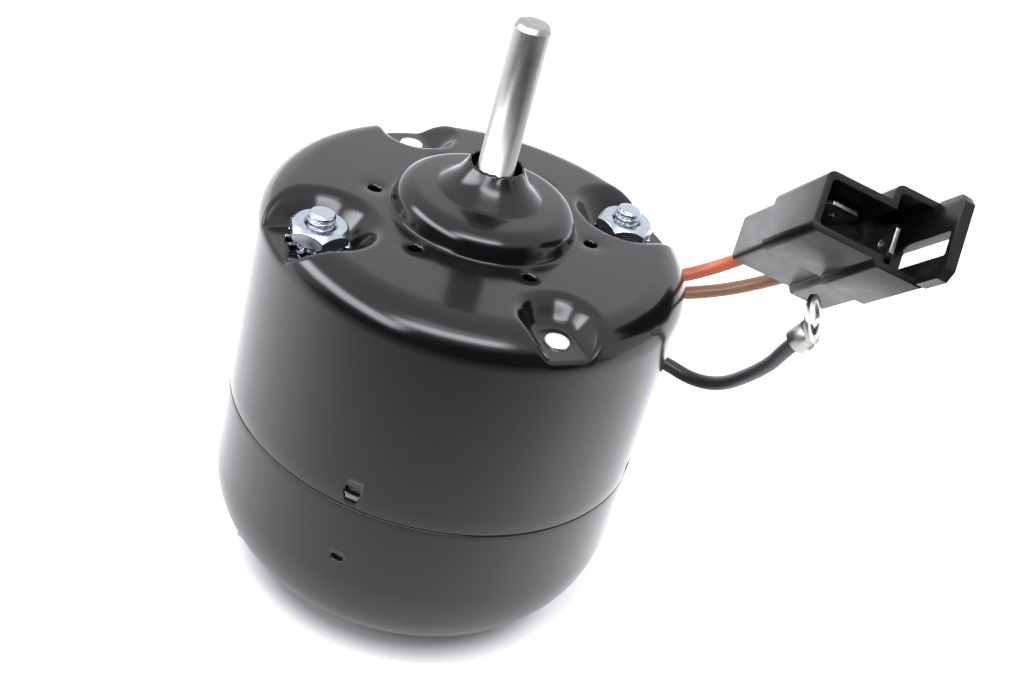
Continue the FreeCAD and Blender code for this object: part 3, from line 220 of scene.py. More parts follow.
def round_edges(obj, width, segments=2, angle=30, even=False):
    """Round an object's edges that are sharper than an angle."""
    bevel = obj.modifiers.new("bevel", "BEVEL")
    bevel.width = width * MM
    bevel.segments = segments
    bevel.limit_method = "ANGLE"
    bevel.angle_limit = math.radians(angle)
    bevel.harden_normals = even


def soften(node, width, material, segments=2):
    """A copy of a piece with its edges rounded, in place of the piece."""
    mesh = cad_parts[node].data.copy()
    work = bmesh.new()
    work.from_mesh(mesh)
    weld(work, 0.004)
    bmesh.ops.dissolve_limit(work, angle_limit=math.radians(1.0), verts=work.verts, edges=work.edges)
    work.to_mesh(mesh)
    work.free()
    obj = link(node + "_finished", mesh, material)
    round_edges(obj, width, segments, angle=28, even=True)
    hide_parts(node)
    return obj


# Materials
class Look:
    """A material with one principled shader and helpers for its textures."""

    def __init__(self, name, color, roughness, metallic=0.0, **inputs):
        self.material = bpy.data.materials.new(name)
        self.material.use_nodes = True
        self.tree = self.material.node_tree
        self.shader = self.tree.nodes["Principled BSDF"]
        self.place = self.tree.nodes.new("ShaderNodeTexCoord")
        self.shader.inputs["Base Color"].default_value = (*color, 1.0)
        self.shader.inputs["Roughness"].default_value = roughness
        self.shader.inputs["Metallic"].default_value = metallic
        for name, value in inputs.items():
            self.shader.inputs[name.replace("_", " ")].default_value = value
        self.bump = None

    def node(self, kind):
        return self.tree.nodes.new(kind)

    def wire(self, source, target):
        self.tree.links.new(source, target)

    def coordinates(self, stretch=(1, 1, 1)):
        mapping = self.node("ShaderNodeMapping")
        mapping.inputs["Scale"].default_value = stretch
        self.wire(self.place.outputs["Object"], mapping.inputs["Vector"])
        return mapping.outputs["Vector"]

    def noise(self, scale, detail=3.0, stretch=(1, 1, 1)):
        noise = self.node("ShaderNodeTexNoise")
        noise.inputs["Scale"].default_value = scale
        noise.inputs["Detail"].default_value = detail
        self.wire(self.coordinates(stretch), noise.inputs["Vector"])
        return noise.outputs["Fac"]

    def specks(self, scale, radius):
        """Small dots scattered over the surface: 1 inside a dot."""
        cells = self.node("ShaderNodeTexVoronoi")
        cells.inputs["Scale"].default_value = scale
        self.wire(self.coordinates(), cells.inputs["Vector"])
        return self.slide(cells.outputs["Distance"], radius, 1.0, 0.0)

    def slide(self, source, reach, start, stop):
        """Go from start to stop as a value goes from 0 to its reach."""
        ramp = self.node("ShaderNodeMapRange")
        ramp.inputs["From Max"].default_value = reach
        ramp.inputs["To Min"].default_value = start
        ramp.inputs["To Max"].default_value = stop
        self.wire(source, ramp.inputs["Value"])
        return ramp.outputs["Result"]

    def tint(self, factor, dark, light):
        """Set the colour from a factor, between two colours."""
        ramp = self.node("ShaderNodeValToRGB")
        ramp.color_ramp.elements[0].color = (*dark, 1.0)
        ramp.color_ramp.elements[-1].color = (*light, 1.0)
        self.wire(factor, ramp.inputs["Fac"])
        self.wire(ramp.outputs["Color"], self.shader.inputs["Base Color"])

    def roughen(self, factor, low, high):
        self.wire(self.slide(factor, 1.0, low, high), self.shader.inputs["Roughness"])

    def emboss(self, height, distance):
        """Add a bump of a real depth in millimetres."""
        bump = self.node("ShaderNodeBump")
        bump.inputs["Distance"].default_value = distance * MM
        bump.inputs["Strength"].default_value = 1.0
        self.wire(height, bump.inputs["Height"])
        if self.bump is not None:
            self.wire(self.bump, bump.inputs["Normal"])
        self.bump = bump.outputs["Normal"]
        self.wire(self.bump, self.shader.inputs["Normal"])


def black_paint():
    look = Look("black_paint", (0.003, 0.003, 0.003), 0.15, IOR=1.42)
    look.tint(look.noise(60, 4), (0.0016, 0.0016, 0.0018), (0.0030, 0.0030, 0.0034))
    look.roughen(look.noise(35, 3), 0.13, 0.19)
    look.emboss(look.noise(420, 2), 0.004)
    look.emboss(look.specks(210, 0.05), 0.02)
    return look.material


def zinc():
    look = Look("zinc_plate", (0.6, 0.66, 0.72), 0.25, 1.0)
    look.tint(look.noise(500, 4), (0.27, 0.31, 0.35), (0.44, 0.48, 0.52))
    look.roughen(look.noise(900, 3), 0.16, 0.34)
    look.emboss(look.noise(1500, 3), 0.012)
    return look.material


def bright_rivet():
    look = Look("bright_rivet", (0.8, 0.8, 0.8), 0.35, 1.0)
    look.roughen(look.noise(700, 3), 0.25, 0.5)
    look.emboss(look.noise(1200, 3), 0.015)
    return look.material


def ground_steel():
    look = Look("ground_steel", (0.5, 0.49, 0.48), 0.3, 1.0)
    look.tint(look.noise(900, 5, (1, 1, 0.05)), (0.20, 0.195, 0.19), (0.40, 0.39, 0.385))
    look.roughen(look.noise(700, 4), 0.28, 0.44)
    look.emboss(look.noise(2500, 3, (1, 1, 0.03)), 0.006)
    return look.material


def plain_metal(name, dark, light, rough=0.4):
    look = Look(name, light, rough, 1.0)
    look.tint(look.noise(400, 4), dark, light)
    look.roughen(look.noise(600, 3), rough * 0.7, rough * 1.3)
    look.emboss(look.noise(1500, 3), 0.01)
    return look.material


def plain_solid(name, dark, light, rough=0.6, bump=0.02, scale=600):
    look = Look(name, light, rough)
    look.tint(look.noise(scale, 4), dark, light)
    look.roughen(look.noise(scale * 1.3, 3), rough * 0.85, min(1.0, rough * 1.15))
    look.emboss(look.noise(scale * 2.5, 3), bump)
    return look.material


def insulation(name, dark, light):
    look = Look(name, light, 0.42)
    look.tint(look.noise(90, 4), dark, light)
    look.roughen(look.noise(250, 3), 0.34, 0.5)
    look.emboss(look.noise(700, 3), 0.02)
    return look.material


def nylon():
    look = Look("black_nylon", (0.004, 0.004, 0.005), 0.32, IOR=1.30)
    look.tint(look.noise(120, 4), (0.0016, 0.0016, 0.0019), (0.0040, 0.0040, 0.0046))
    look.roughen(look.noise(260, 4), 0.22, 0.42)
    look.emboss(look.noise(500, 3), 0.02)
    return look.material


LOOKS = {
    "paint": black_paint(),
    "zinc": zinc(),
    "rivet": bright_rivet(),
    "shaft": ground_steel(),
    "sheet_steel": plain_metal("sheet_steel", (0.32, 0.32, 0.33), (0.5, 0.5, 0.5)),
    "bronze": plain_metal("sintered_bronze", (0.36, 0.24, 0.11), (0.5, 0.36, 0.18), 0.55),
    "tin": plain_metal("tinned_brass", (0.26, 0.25, 0.23), (0.44, 0.43, 0.40), 0.3),
    "brass": plain_metal("brass_sheet", (0.5, 0.36, 0.14), (0.72, 0.55, 0.26), 0.35),
    "copper_bars": plain_metal("copper_bars", (0.5, 0.24, 0.12), (0.72, 0.4, 0.22), 0.3),
    "copper_wire": plain_metal("enamelled_wire", (0.28, 0.09, 0.03), (0.5, 0.2, 0.08), 0.35),
    "core": plain_metal("core_steel", (0.14, 0.14, 0.14), (0.24, 0.24, 0.24), 0.5),
    "ferrite": plain_solid("ferrite", (0.04, 0.04, 0.042), (0.075, 0.075, 0.08), 0.7),
    "carbon": plain_solid("carbon", (0.03, 0.028, 0.026), (0.06, 0.055, 0.05), 0.6),
    "laminate": plain_solid("laminate", (0.22, 0.11, 0.05), (0.34, 0.19, 0.09), 0.5),
    "felt": plain_solid("felt", (0.5, 0.47, 0.38), (0.7, 0.67, 0.58), 0.95, 0.2, 900),
    "rubber": plain_solid("black_rubber", (0.012, 0.012, 0.012), (0.022, 0.022, 0.022), 0.6),
    "orange": insulation("orange_pvc", (0.34, 0.068, 0.026), (0.42, 0.10, 0.042)),
    "brown": insulation("brown_pvc", (0.19, 0.082, 0.040), (0.25, 0.12, 0.062)),
    "black_lead": insulation("black_pvc", (0.014, 0.015, 0.016), (0.028, 0.029, 0.032)),
    "nylon": nylon(),
}

NODE_LOOKS = {
    "paint": ("upper_shell", "lower_shell"),
    "zinc": ("bolt_left", "bolt_right", "nut_left", "nut_right", "tooth_washer_left", "tooth_washer_right"),
    "rivet": ("rivet_front", "rivet_back"),
    "shaft": ("shaft",),
    "sheet_steel": (
        "front_retainer", "rear_retainer", "magnet_clip_left", "magnet_clip_right", "front_thrust_washer",
        "rear_thrust_washer", "brush_spring_front", "brush_spring_back",
    ),
    "bronze": ("front_bearing", "rear_bearing"),
    "tin": ("blade_terminal_flat", "blade_terminal_upright", "ring_terminal"),
    "brass": ("brush_holder_front", "brush_holder_back"),
    "copper_bars": ("commutator",),
    "copper_wire": ("armature_windings",),
    "core": ("armature_core",),
    "ferrite": ("magnet_front", "magnet_back"),
    "carbon": ("brush_front", "brush_back"),
    "laminate": ("brush_card",),
    "felt": ("front_felt", "rear_felt"),
    "rubber": ("feed_grommet", "earth_grommet"),
    "orange": ("lead_orange",),
    "brown": ("lead_brown",),
    "black_lead": ("lead_black",),
    "nylon": ("connector_housing",),
}


def dress_nodes():
    """Give each solid that stays in view its material."""
    for look, nodes in NODE_LOOKS.items():
        for node in nodes:
            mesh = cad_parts[node].data
            for index in range(len(mesh.materials)):
                mesh.materials[index] = LOOKS[look]


# Leads
def outward(radius, height):
    """A point at the grommets' azimuth."""
    turn = math.radians(GROMMET_AZIMUTH)
    return Vector((radius * math.cos(turn), radius * math.sin(turn), height)) * MM


def above_top(x, y, rise):
    return Vector((x, y, TOP + rise)) * MM


def at(place, x, y, z):
    """A point in a placed piece's own directions."""
    return place @ (Vector((x, y, z)) * MM)


def lead_routes():
    return {
        "orange": [
            outward(LEAD_START, FEED_HEIGHT),
            outward(OUTSIDE + 0.5, FEED_HEIGHT),
            above_top(45.2, -8.2, -7.4),
            above_top(48.2, -12.2, -2.6),
            at(PLUG, 6.1, 0.0, -31.4),
            at(PLUG, 6.1, 0.0, -23.4),
        ],
        "brown": [
            outward(LEAD_START, FEED_HEIGHT - FEED_PITCH),
            outward(OUTSIDE + 1.0, FEED_HEIGHT - FEED_PITCH),
            above_top(48.4, -9.3, -11.6),
            above_top(54.0, -13.0, -7.6),
            at(PLUG, 17.0, 1.0, -32.9),
            at(PLUG, 17.0, 1.0, -23.4),
        ],
        "black": [
            outward(LEAD_START, EARTH_HEIGHT),
            outward(OUTSIDE + 0.3, EARTH_HEIGHT),
            above_top(47.8, -16.8, -29.2),
            above_top(47.8, -29.2, -15.2),
            at(RING, 0.0, 0.0, -1.5),
            at(RING, 0.0, 0.0, 3.0),
        ],
    }


def make_lead(name, points, radius, material):
    """A lead as a round cord along a curve."""
    curve = bpy.data.curves.new("lead_" + name, "CURVE")
    curve.dimensions = "3D"
    spline = curve.splines.new("NURBS")
    spline.points.add(len(points) - 1)
    for point, place in zip(spline.points, points):
        point.co = (*place, 1.0)
    spline.order_u = 3
    spline.use_endpoint_u = True
    spline.resolution_u = 24
    curve.bevel_depth = radius * MM
    curve.bevel_resolution = 8
    curve.use_fill_caps = True
    curve.materials.append(material)
    lead = bpy.data.objects.new("lead_" + name + "_insulation", curve)
    bpy.context.scene.collection.objects.link(lead)
    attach(lead, BODY)
    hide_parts("lead_" + name)
    return lead


def make_leads():
    routes = lead_routes()
    return {
        "orange": make_lead("orange", routes["orange"], LEAD_RADIUS, LOOKS["orange"]),
        "brown": make_lead("brown", routes["brown"], LEAD_RADIUS, LOOKS["brown"]),
        "black": make_lead("black", routes["black"], EARTH_LEAD_RADIUS, LOOKS["black_lead"]),
    }


# Casing
# Pockets in the top: azimuth, floor, inner end of the floor, half width, roundness of the edge
POCKETS = (
    (0, NUT_FLOOR - TOP, 24.0, 6.0, 1.7),
    (180, NUT_FLOOR - TOP, 24.0, 6.0, 1.7),
    (90, -4.2, 27.3, 3.9, 1.5),
    (270, -4.2, 27.3, 3.9, 1.5),
)
POCKET_SLOPE = 1.376
POCKET_NOSE = 0.86
HEAD_FLOOR = -67.6


def sink_pockets(rows):
    """Press the pockets and the dimples into the upper shell's rows."""
    x, y, z = rows[..., 0], rows[..., 1], rows[..., 2]
    for azimuth, floor, end, half, rim in POCKETS:
        away = strip_distance(x, y, azimuth, end, half, half * POCKET_NOSE)
        pressed = floor + POCKET_SLOPE * soft_upper(away, np.zeros_like(away), 0.9)
        near = (z > -9.0)
        z[...] = np.where(near, soft_lower(z, pressed, rim), z)
    for azimuth in STAKE_AZIMUTHS:
        turn = math.radians(azimuth)
        away = np.hypot(x - STAKE_OFFSET * math.cos(turn), y - STAKE_OFFSET * math.sin(turn))
        z -= 0.35 * np.exp(-(away / 2.1) ** 2) * (np.hypot(x, y) > 17.2)


def tear_rim(rows, count):
    """Give the pierced rim its torn edge, on the first rows."""
    angle = np.arctan2(rows[0, :, 1], rows[0, :, 0])
    wave = 0.10 * np.sin(3 * angle + 0.6) + 0.05 * np.sin(7 * angle + 1.9) + 0.04 * np.sin(23 * angle)
    nicks = ((-1.9, 0.40, 0.09), (-1.45, 0.25, 0.05), (-0.7, 0.25, 0.07), (2.5, 0.3, 0.08))
    for centre, depth, width in nicks:
        away = (angle - centre + math.pi) % (2 * math.pi) - math.pi
        wave -= depth * np.exp(-(away / width) ** 2)
    for row in range(count):
        rows[row, :, 2] += wave * (1 - row / count) ** 1.5


def thinned(line, low, high, spacing):
    """Leave out points of a line between two heights, where it is straight."""
    keep = [0]
    for index in range(1, len(line)):
        height = line[index, 1]
        if low < height < high and abs(height - line[keep[-1], 1]) < spacing:
            continue
        keep.append(index)
    return line[keep]


def make_upper_shell():
    """The cup with the bearing boss, the cone, the pockets and the pierced rim."""
    line = rounded_line([
        (4.7, 10.3), (6.5, 7.4, 9.0), (9.2, 4.95, 0.45), (15.1, 4.6, 3.6), (16.5, 0.0, 0.45),
        (CASING_RADIUS, 0.0, 6.5), (CASING_RADIUS, SEAM + 0.2, 0.16), (CASING_RADIUS - 0.2, SEAM + 0.02),
    ], 0.32, 0.6)
    rows = rings(thinned(line, -39.4, -7.5, 2.4), casing_angles())
    tear_rim(rows, 3)
    sink_pockets(rows)
    rows[..., 2] += TOP
    shell = link("upper_shell_drawn", grid_mesh("upper_shell_drawn", rows), LOOKS["paint"])
    thicken(shell, 6 * rows.shape[1])
    return shell


def thicken(shell, thin_count=0):
    """Give a shell its wall, with a thinner lip on its first points."""
    group = shell.vertex_groups.new(name="wall")
    group.add(range(len(shell.data.vertices)), 1.0, "REPLACE")
    group.add(range(thin_count), 0.30, "REPLACE")
    wall = shell.modifiers.new("wall", "SOLIDIFY")
    wall.vertex_group = group.name
    wall.thickness = CASING_WALL * MM
    wall.offset = 1.0
    wall.use_even_offset = False


def make_lower_shell():
    """The bowl with the rear boss and the pockets for the bolt heads."""
    bottom, boss, head_half = -75.25, -TOP, 5.6
    line = rounded_line([
        (CASING_RADIUS - 0.2, SEAM - 0.02), (CASING_RADIUS, SEAM - 0.2, 0.16), (CASING_RADIUS, bottom, 19.5),
        (16.5, bottom, 1.0), (12.5, boss, 1.0), (0.4, boss),
    ], 0.9, 1.2)
    rows = rings(line, casing_angles())
    x, y, z = rows[..., 0], rows[..., 1], rows[..., 2]
    for azimuth in (0, 180):
        away = strip_distance(x, y, azimuth, 24.4, head_half, head_half * POCKET_NOSE)
        pressed = HEAD_FLOOR - POCKET_SLOPE * soft_upper(away, np.zeros_like(away), 0.9)
        z[...] = np.where(z < -55, soft_upper(z, pressed, 1.6), z)
    rows[..., 2] += TOP
    shell = link("lower_shell_drawn", grid_mesh("lower_shell_drawn", rows, cap_end=True), LOOKS["paint"])
    thicken(shell)
    return shell


def obround_prism(name, width, height, depth, radius):
    """A round-cornered bar lying along X, centred at the origin, with its outline in Y and Z."""
    outline = []
    radius = min(radius, width / 2 - 0.001, height / 2 - 0.001)
    for cx, cy, start in ((1, 1, 0), (-1, 1, 90), (-1, -1, 180), (1, -1, 270)):
        for step in range(7):
            turn = math.radians(start + step * 15)
            outline.append((
                cx * (width / 2 - radius) + radius * math.cos(turn),
                cy * (height / 2 - radius) + radius * math.sin(turn),
            ))
    rows = np.array([[(x, a, b) for a, b in outline] for x in (-depth / 2, depth / 2)])
    return grid_mesh(name, rows, cap_start=True, cap_end=True)


def cut(shell, cutters, name):
    """Cut all the cutters out of a shell at once."""
    joined = bmesh.new()
    for mesh, place in cutters:
        mesh.transform(place)
        joined.from_mesh(mesh)
    bmesh.ops.recalc_face_normals(joined, faces=joined.faces)
    mesh = bpy.data.meshes.new(name)
    joined.to_mesh(mesh)
    joined.free()
    tool = bpy.data.objects.new(name, mesh)
    bpy.context.scene.collection.objects.link(tool)
    modifier = shell.modifiers.new("holes", "BOOLEAN")
    modifier.operation = "DIFFERENCE"
    modifier.solver = "EXACT"
    modifier.object = tool
    settle(shell)
    bpy.data.objects.remove(tool)


def settle(obj):
    """Apply an object's modifiers to its mesh."""
    graph = bpy.context.evaluated_depsgraph_get()
    mesh = bpy.data.meshes.new_from_object(obj.evaluated_get(graph))
    obj.modifiers.clear()
    obj.data = mesh
    smooth_faces(mesh)


def side_place(azimuth, height):
    """A place on the side wall, with X outward."""
    turn = Matrix.Rotation(math.radians(azimuth), 4, "Z")
    return turn @ Matrix.Translation(Vector((38.0, 0, height)) * MM)


def slot(azimuth, height, width, tall, radius):
    """A cutter through the side wall, with the place where it goes."""
    return obround_prism("slot", width, tall, 6, radius), side_place(azimuth, height)


def drill(radius, low, high, x, y):
    """A vertical round cutter, with the place where it goes."""
    rows = turned(np.array([(radius, low), (radius, high)]), 40, (x, y))
    return grid_mesh("drill", rows, cap_start=True, cap_end=True), Matrix.Identity(4)


def pierce_shells(upper, lower):
    """Cut the small holes, the slots, and the ways of the leads, bolts and rivets."""
    above, below_pockets = TOP + 3, TOP - 9
    cutters = []
    for azimuth in STAKE_AZIMUTHS:
        turn = math.radians(azimuth)
        x, y = STAKE_OFFSET * math.cos(turn), STAKE_OFFSET * math.sin(turn)
        cutters.append(drill(1.3, TOP - 3, above, x, y))
    for azimuth in (-135, -45, 45, 135):
        cutters.append(slot(azimuth, TOP - 36.6, 3.0, 1.6, 0.5))
    cutters.append(slot(GROMMET_AZIMUTH, FEED_HEIGHT - FEED_PITCH / 2, 5.2, 5.2 + FEED_PITCH, 2.6))
    cutters.append(slot(GROMMET_AZIMUTH, EARTH_HEIGHT, 5.2, 5.2, 2.6))
    for sign in (-1, 1):
        cutters.append(drill(BOLT_WAY, below_pockets, above, sign * BOLT_OFFSET, 0))
        cutters.append(drill(RIVET_WAY, below_pockets, above, 0, sign * RIVET_OFFSET))
    cut(upper, cutters, "upper_cutters")
    lower_cutters = [slot(azimuth, TOP - 51.4, 2.3, 1.4, 0.65) for azimuth in (-135, 45)]
    for sign in (-1, 1):
        lower_cutters.append(drill(BOLT_WAY, 5, 16, sign * BOLT_OFFSET, 0))
    cut(lower, lower_cutters, "lower_cutters")


# Fasteners
def make_bolt(side, x):
    """A long bolt: hexagon head, plain shank and a threaded end."""
    pitch, major, depth, count = 1.06, 2.38, 0.5, 48
    low, high = 10.0, TOP + 1.06
    head_radius, head_height, head_middle = 4.3, 1.8, 10.25
    levels = np.concatenate([[low], np.arange(high - 9, high + 0.001, pitch / 12)])
    angle = np.arange(count) * 2 * math.pi / count
    phase = (levels[:, None] / pitch - angle[None, :] / (2 * math.pi)) % 1.0
    groove = np.clip(1 - np.abs(phase - 0.5) * 3.2, 0, 1) * depth
    fade = np.clip((levels - (high - 8.5)) / 1.0, 0, 1)[:, None]
    radius = major - groove * fade
    end = np.clip((levels - (high - 0.45)) / 0.45, 0, 1)[:, None]
    radius = np.minimum(radius, major - 0.1 - 0.38 * end)
    heights = np.repeat(levels[:, None], count, 1)
    rows = np.stack([x + radius * np.cos(angle), radius * np.sin(angle), heights], axis=2)
    end_line = np.array([(1.55, high + 0.02), (0.5, high + 0.03)])
    rows = np.concatenate([rows, turned(end_line, count, (x, 0))])
    mesh = grid_mesh("bolt", rows, cap_start=True, cap_end=True)
    work = bmesh.new()
    work.from_mesh(mesh)
    place = Matrix.Translation(Vector((x, 0, head_middle)) * MM) @ Matrix.Rotation(math.radians(30), 4, "Z")
    head = bmesh.ops.create_cone(
        work, cap_ends=True, segments=6, radius1=head_radius * MM, radius2=head_radius * MM,
        depth=head_height * MM, matrix=place,
    )
    edges = list({edge for vert in head["verts"] for edge in vert.link_edges})
    bmesh.ops.bevel(work, geom=edges, offset=0.25 * MM, segments=2, profile=0.5, affect="EDGES")
    work.to_mesh(mesh)
    work.free()
    bolt = link(f"bolt_{side}_threaded", mesh, LOOKS["zinc"])
    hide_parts(f"bolt_{side}")


def make_nut(side, x, turn):
    """A hexagon nut with chamfered corners and a countersunk thread."""
    half = NUT_ACROSS / 2
    reach = half / math.cos(math.radians(30))
    foot, height, thread, count = NUT_FLOOR + 0.9, 3.1, 2.40, 96
    angle = np.arange(count) * 2 * math.pi / count + math.radians(turn)
    across = half / np.cos((angle - math.radians(turn)) % math.radians(60) - math.radians(30))
    levels = [
        (thread, 0.0), (4.3, 0.0), ("edge", 0.35), ("edge", 1.55), ("edge", 2.75), (4.35, height),
        (2.95, height), (thread, 2.55), (thread, 0.0),
    ]
    rows = []
    for size, level in levels:
        if size == "edge":
            lean = (across - half) / (reach - half)
            slant = 0.55 if level < 1 else (-0.75 if level > 2 else 0.0)
            rise = level + slant * lean
            radius = across * (1 - 0.012 * lean)
        else:
            rise = np.full(count, level)
            radius = np.full(count, float(size))
        rows.append(np.stack([x + radius * np.cos(angle), radius * np.sin(angle), foot + rise], axis=1))
    mesh = grid_mesh("nut", np.array(rows[:-1] + [rows[0]]))
    work = bmesh.new()
    work.from_mesh(mesh)
    weld(work)
    work.to_mesh(mesh)
    work.free()
    nut = link(f"nut_{side}_chamfered", mesh, LOOKS["zinc"])
    round_edges(nut, 0.12, angle=24, even=True)
    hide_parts(f"nut_{side}")


def make_tooth_washer(side, x):
    """A lock washer whose outer teeth are twisted."""
    inner, outer, low, high, teeth = 2.7, 4.3, 0.15, 0.75, 12
    work = bmesh.new()
    line = np.array([(inner, low), (outer, low), (outer, high), (inner, high), (inner, low)])
    ring = grid_mesh("ring", turned(line + np.array([0, NUT_FLOOR]), 48, (x, 0)))
    work.from_mesh(ring)
    middle = Matrix.Translation(Vector((x, 0, NUT_FLOOR + (low + high) / 2)) * MM)
    reach = Matrix.Translation(Vector((outer + 0.45, 0, 0)) * MM)
    twist = Matrix.Rotation(math.radians(28), 4, "X")
    tooth = Matrix.Diagonal((1.25 * MM, 1.15 * MM, 0.5 * MM, 1))
    for k in range(teeth):
        turn = Matrix.Rotation(math.radians(360 / teeth * k + 10), 4, "Z")
        bmesh.ops.create_cube(work, size=1.0, matrix=middle @ turn @ reach @ twist @ tooth)
    mesh = bpy.data.meshes.new("washer")
    weld(work)
    work.to_mesh(mesh)
    work.free()
    washer = link(f"tooth_washer_{side}_twisted", mesh, LOOKS["zinc"], smooth=False)
    round_edges(washer, 0.1)
    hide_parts(f"tooth_washer_{side}")


def make_shaft():
    """The shaft, thicker inside the casing, with a chamfer at its free end."""
    middle, foot = 0.25, 2.0
    line = rounded_line([
        (middle, foot), (2.9, foot, 0.1), (JOURNAL_RADIUS, foot + 0.6, 0.1), (JOURNAL_RADIUS, JOURNAL_TOP),
        (SHAFT_RADIUS, JOURNAL_TOP + 0.1), (SHAFT_RADIUS, SHAFT_TIP - 0.9, 0.15), (2.62, SHAFT_TIP, 0.25),
        (middle, SHAFT_TIP),
    ], 0.08, 20.0)
    mesh = grid_mesh("shaft", turned(line, 96), cap_start=True, cap_end=True)
    shaft = link("shaft_ground", mesh, LOOKS["shaft"], "armature")
    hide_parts("shaft")


def make_brush_spring(side):
    """A copy of a brush's spring, in place of the piece; the spring presses against the holder's closed end.
    """
    node = f"brush_spring_{side}"
    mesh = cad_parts[node].data.copy()
    spring = link(f"{node}_coils", mesh, LOOKS["sheet_steel"])
    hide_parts(node)
    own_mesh(spring)


# Floor and light
CAMERA_AZIMUTH = math.radians(-121)
CAMERA_SIDE = (math.cos(CAMERA_AZIMUTH), math.sin(CAMERA_AZIMUTH), 0)


class Sky:
    """A shader over directions, or over places on the floor, built from a few soft areas."""

    def __init__(self, tree):
        self.tree = tree
        self.direction = tree.nodes.new("ShaderNodeTexCoord").outputs["Generated"]

    def math(self, operation, first, second=None):
        node = self.tree.nodes.new("ShaderNodeMath")
        node.operation = operation
        for index, value in enumerate((first, second)):
            if value is None:
                continue
            if isinstance(value, (int, float)):
                node.inputs[index].default_value = value
            else:
                self.tree.links.new(value, node.inputs[index])
        return node.outputs[0]

    def along(self, axis):
        """How far a direction points along an axis, from -1 to 1."""
        node = self.tree.nodes.new("ShaderNodeVectorMath")
        node.operation = "DOT_PRODUCT"
        self.tree.links.new(self.direction, node.inputs[0])
        node.inputs[1].default_value = axis
        return node.outputs["Value"]

    def length(self):
        """How long the direction is: on the floor, the distance from the origin."""
        node = self.tree.nodes.new("ShaderNodeVectorMath")
        node.operation = "LENGTH"
        self.tree.links.new(self.direction, node.inputs[0])
        return node.outputs["Value"]

    def step(self, value, low, high, start=0.0, stop=1.0):
        """A smooth step from start to stop as a value goes from low to high."""
        node = self.tree.nodes.new("ShaderNodeMapRange")
        node.interpolation_type = "SMOOTHSTEP"
        self.tree.links.new(value, node.inputs["Value"])
        for name, amount in (("From Min", low), ("From Max", high), ("To Min", start), ("To Max", stop)):
            node.inputs[name].default_value = amount
        return node.outputs["Result"]

    def panel(self, azimuth, elevation, half_width, half_height, soft, tilt):
        """1 inside a soft-edged rectangle seen in a direction, with its halves in degrees."""
        turn = Matrix.Identity(3)
        for angle, axis in ((azimuth, "Z"), (-elevation, "Y"), (tilt, "X")):
            turn = turn @ Matrix.Rotation(math.radians(angle), 3, axis)
        aside = self.math("ABSOLUTE", self.along(turn @ Vector((0, 1, 0))))
        above = self.math("ABSOLUTE", self.along(turn @ Vector((0, 0, 1))))
        edge = math.sin(math.radians(soft))
        width, height = math.sin(math.radians(half_width)), math.sin(math.radians(half_height))
        across = self.step(aside, width, width + edge, 1, 0)
        inside = self.math("MULTIPLY", across, self.step(above, height, height + edge, 1, 0))
        return self.math("MULTIPLY", inside, self.step(self.along(turn @ Vector((1, 0, 0))), 0.0, 0.1))


def make_floor():
    """A white table: white in view, with a painted contact shadow near the foot; in reflections and bounce
    light it has painted shade near the foot and towards the camera's side, and a painted glow.
    """
    half, paint, painted_glow_share = 4, 0.8, 0.4
    mesh = bpy.data.meshes.new("floor")
    corners = [(-half, -half, 0), (half, -half, 0), (half, half, 0), (-half, half, 0)]
    mesh.from_pydata(corners, [], [(0, 1, 2, 3)])
    floor = bpy.data.objects.new("floor", mesh)
    bpy.context.scene.collection.objects.link(floor)
    material = bpy.data.materials.new("white_floor")
    material.use_nodes = True
    tree = material.node_tree
    place = Sky(tree)
    place.direction = tree.nodes.new("ShaderNodeTexCoord").outputs["Object"]
    # Painted shade: in reflections and bounce light, the floor's colour and glow fall off towards the
    # camera's side
    beyond = place.math("MAXIMUM", place.math("SUBTRACT", place.along(CAMERA_SIDE), 0.03), 0.0)
    painted_falloff = place.math("POWER", place.math("DIVIDE", beyond, 0.09), 1.6)
    from_foot = place.length()
    bright = place.math("DIVIDE", 1.0, place.math("ADD", painted_falloff, 1.0))
    # Painted shade near the foot, in reflections and bounce light: down to a quarter within 20 mm, full past
    # 60 mm
    bright = place.math("MULTIPLY", bright, place.step(from_foot, 0.020, 0.060, 0.25, 1.0))
    seen = tree.nodes.new("ShaderNodeLightPath").outputs["Is Camera Ray"]
    # Painted contact shadow in view: the floor darkens to a fifth of its colour within 23 mm of the foot's
    # centre and is white past 34 mm
    painted_contact_shadow = place.math("MULTIPLY", seen, place.step(from_foot, 0.023, 0.034, 0.2, 1.0))
    # The floor's colour: the painted shade in reflections and bounce light, the painted contact shadow in
    # view
    level = place.math("MAXIMUM", bright, painted_contact_shadow)
    # Painted glow: outside the camera's view the floor gives off light of its own, graded by the painted
    # shade, though it is no lamp
    painted_glow_level = place.math("MULTIPLY", bright, place.math("SUBTRACT", 1.0, seen))
    paper = tree.nodes.new("ShaderNodeBsdfDiffuse")
    glow = tree.nodes.new("ShaderNodeEmission")
    tree.links.new(place.math("MULTIPLY", level, paint), paper.inputs["Color"])
    tree.links.new(place.math("MULTIPLY", painted_glow_level, painted_glow_share), glow.inputs["Strength"])
    add = tree.nodes.new("ShaderNodeAddShader")
    tree.links.new(paper.outputs[0], add.inputs[0])
    tree.links.new(glow.outputs[0], add.inputs[1])
    tree.links.new(add.outputs[0], tree.nodes["Material Output"].inputs["Surface"])
    tree.nodes.remove(tree.nodes["Principled BSDF"])
    mesh.materials.append(material)


# Lit areas: azimuth, elevation, half width, half height, soft edge and tilt in degrees, and their power
PANELS = (
    ((178, 27, 28, 4, 8, 0), 13.0),
    ((-122, 47, 20, 2.5, 8, 10), 12.0),
    ((-118, 58, 14, 5, 9, 0), 2.5),
)


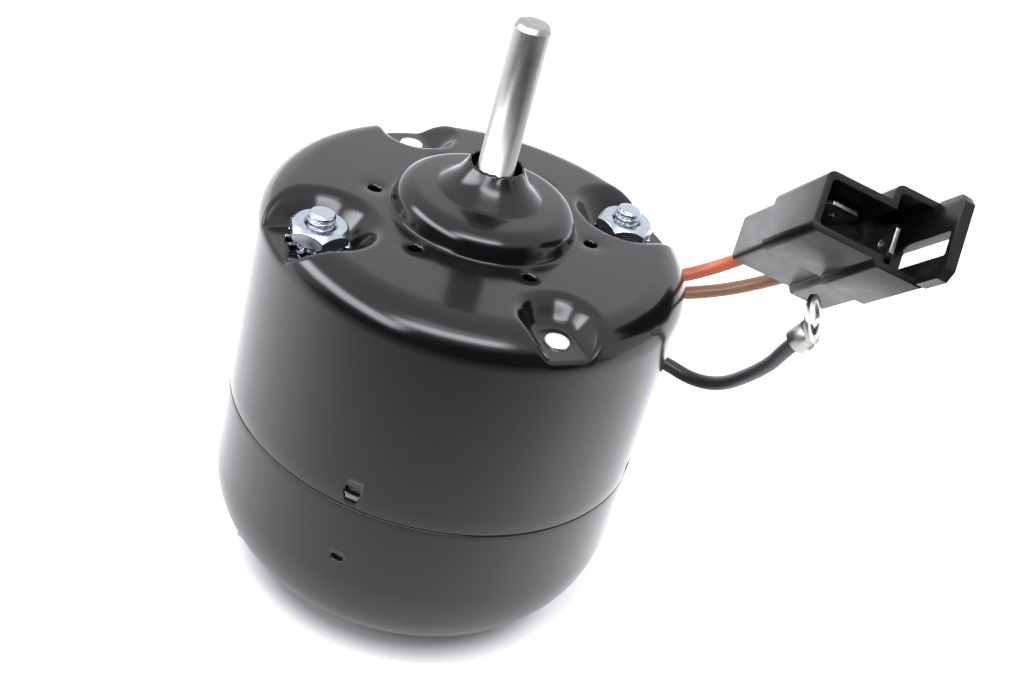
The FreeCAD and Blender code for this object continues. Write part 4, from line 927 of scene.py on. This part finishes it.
def make_world():
    """An even bright sky with a dark area low at the camera's side and a few lit panels, white in view."""
    even, darkness = 1.55, 1.50
    world = bpy.data.worlds.new("world")
    bpy.context.scene.world = world
    world.use_nodes = True
    tree = world.node_tree
    sky = Sky(tree)
    front = sky.step(sky.along(CAMERA_SIDE), 0.10, 0.50)
    low = sky.step(sky.along((0, 0, 1)), 0.40, 0.70, 1, 0)
    dark = sky.math("MULTIPLY", front, low)
    glow = sky.math("ADD", sky.math("MULTIPLY", dark, -darkness), even)
    for panel, power in PANELS:
        glow = sky.math("ADD", glow, sky.math("MULTIPLY", sky.panel(*panel), power))
    background = tree.nodes["Background"]
    tree.links.new(glow, background.inputs["Strength"])
    white = tree.nodes.new("ShaderNodeBackground")
    path = tree.nodes.new("ShaderNodeLightPath")
    mix = tree.nodes.new("ShaderNodeMixShader")
    white.inputs["Color"].default_value = (1, 1, 1, 1)
    background.inputs["Color"].default_value = (0.98, 0.98, 1.03, 1)
    tree.links.new(path.outputs["Is Camera Ray"], mix.inputs[0])
    tree.links.new(background.outputs[0], mix.inputs[1])
    tree.links.new(white.outputs[0], mix.inputs[2])
    tree.links.new(mix.outputs[0], tree.nodes["World Output"].inputs["Surface"])


# Put together
make_camera()
leads = make_leads()
dress_nodes()
upper = make_upper_shell()
lower = make_lower_shell()
pierce_shells(upper, lower)
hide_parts("upper_shell")
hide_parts("lower_shell")
for side, sign, turn in (("left", -1, 16.0), ("right", 1, 40.0)):
    make_bolt(side, sign * BOLT_OFFSET)
    make_nut(side, sign * BOLT_OFFSET, turn)
    make_tooth_washer(side, sign * BOLT_OFFSET)
make_shaft()
make_brush_spring("front")
make_brush_spring("back")
plug = soften("connector_housing", 0.28, LOOKS["nylon"], segments=3)
flat_blade = soften("blade_terminal_flat", 0.12, LOOKS["tin"])
upright_blade = soften("blade_terminal_upright", 0.12, LOOKS["tin"])
ring = soften("ring_terminal", 0.15, LOOKS["tin"])
make_floor()
make_world()
bpy.context.scene.view_settings.view_transform = "Standard"
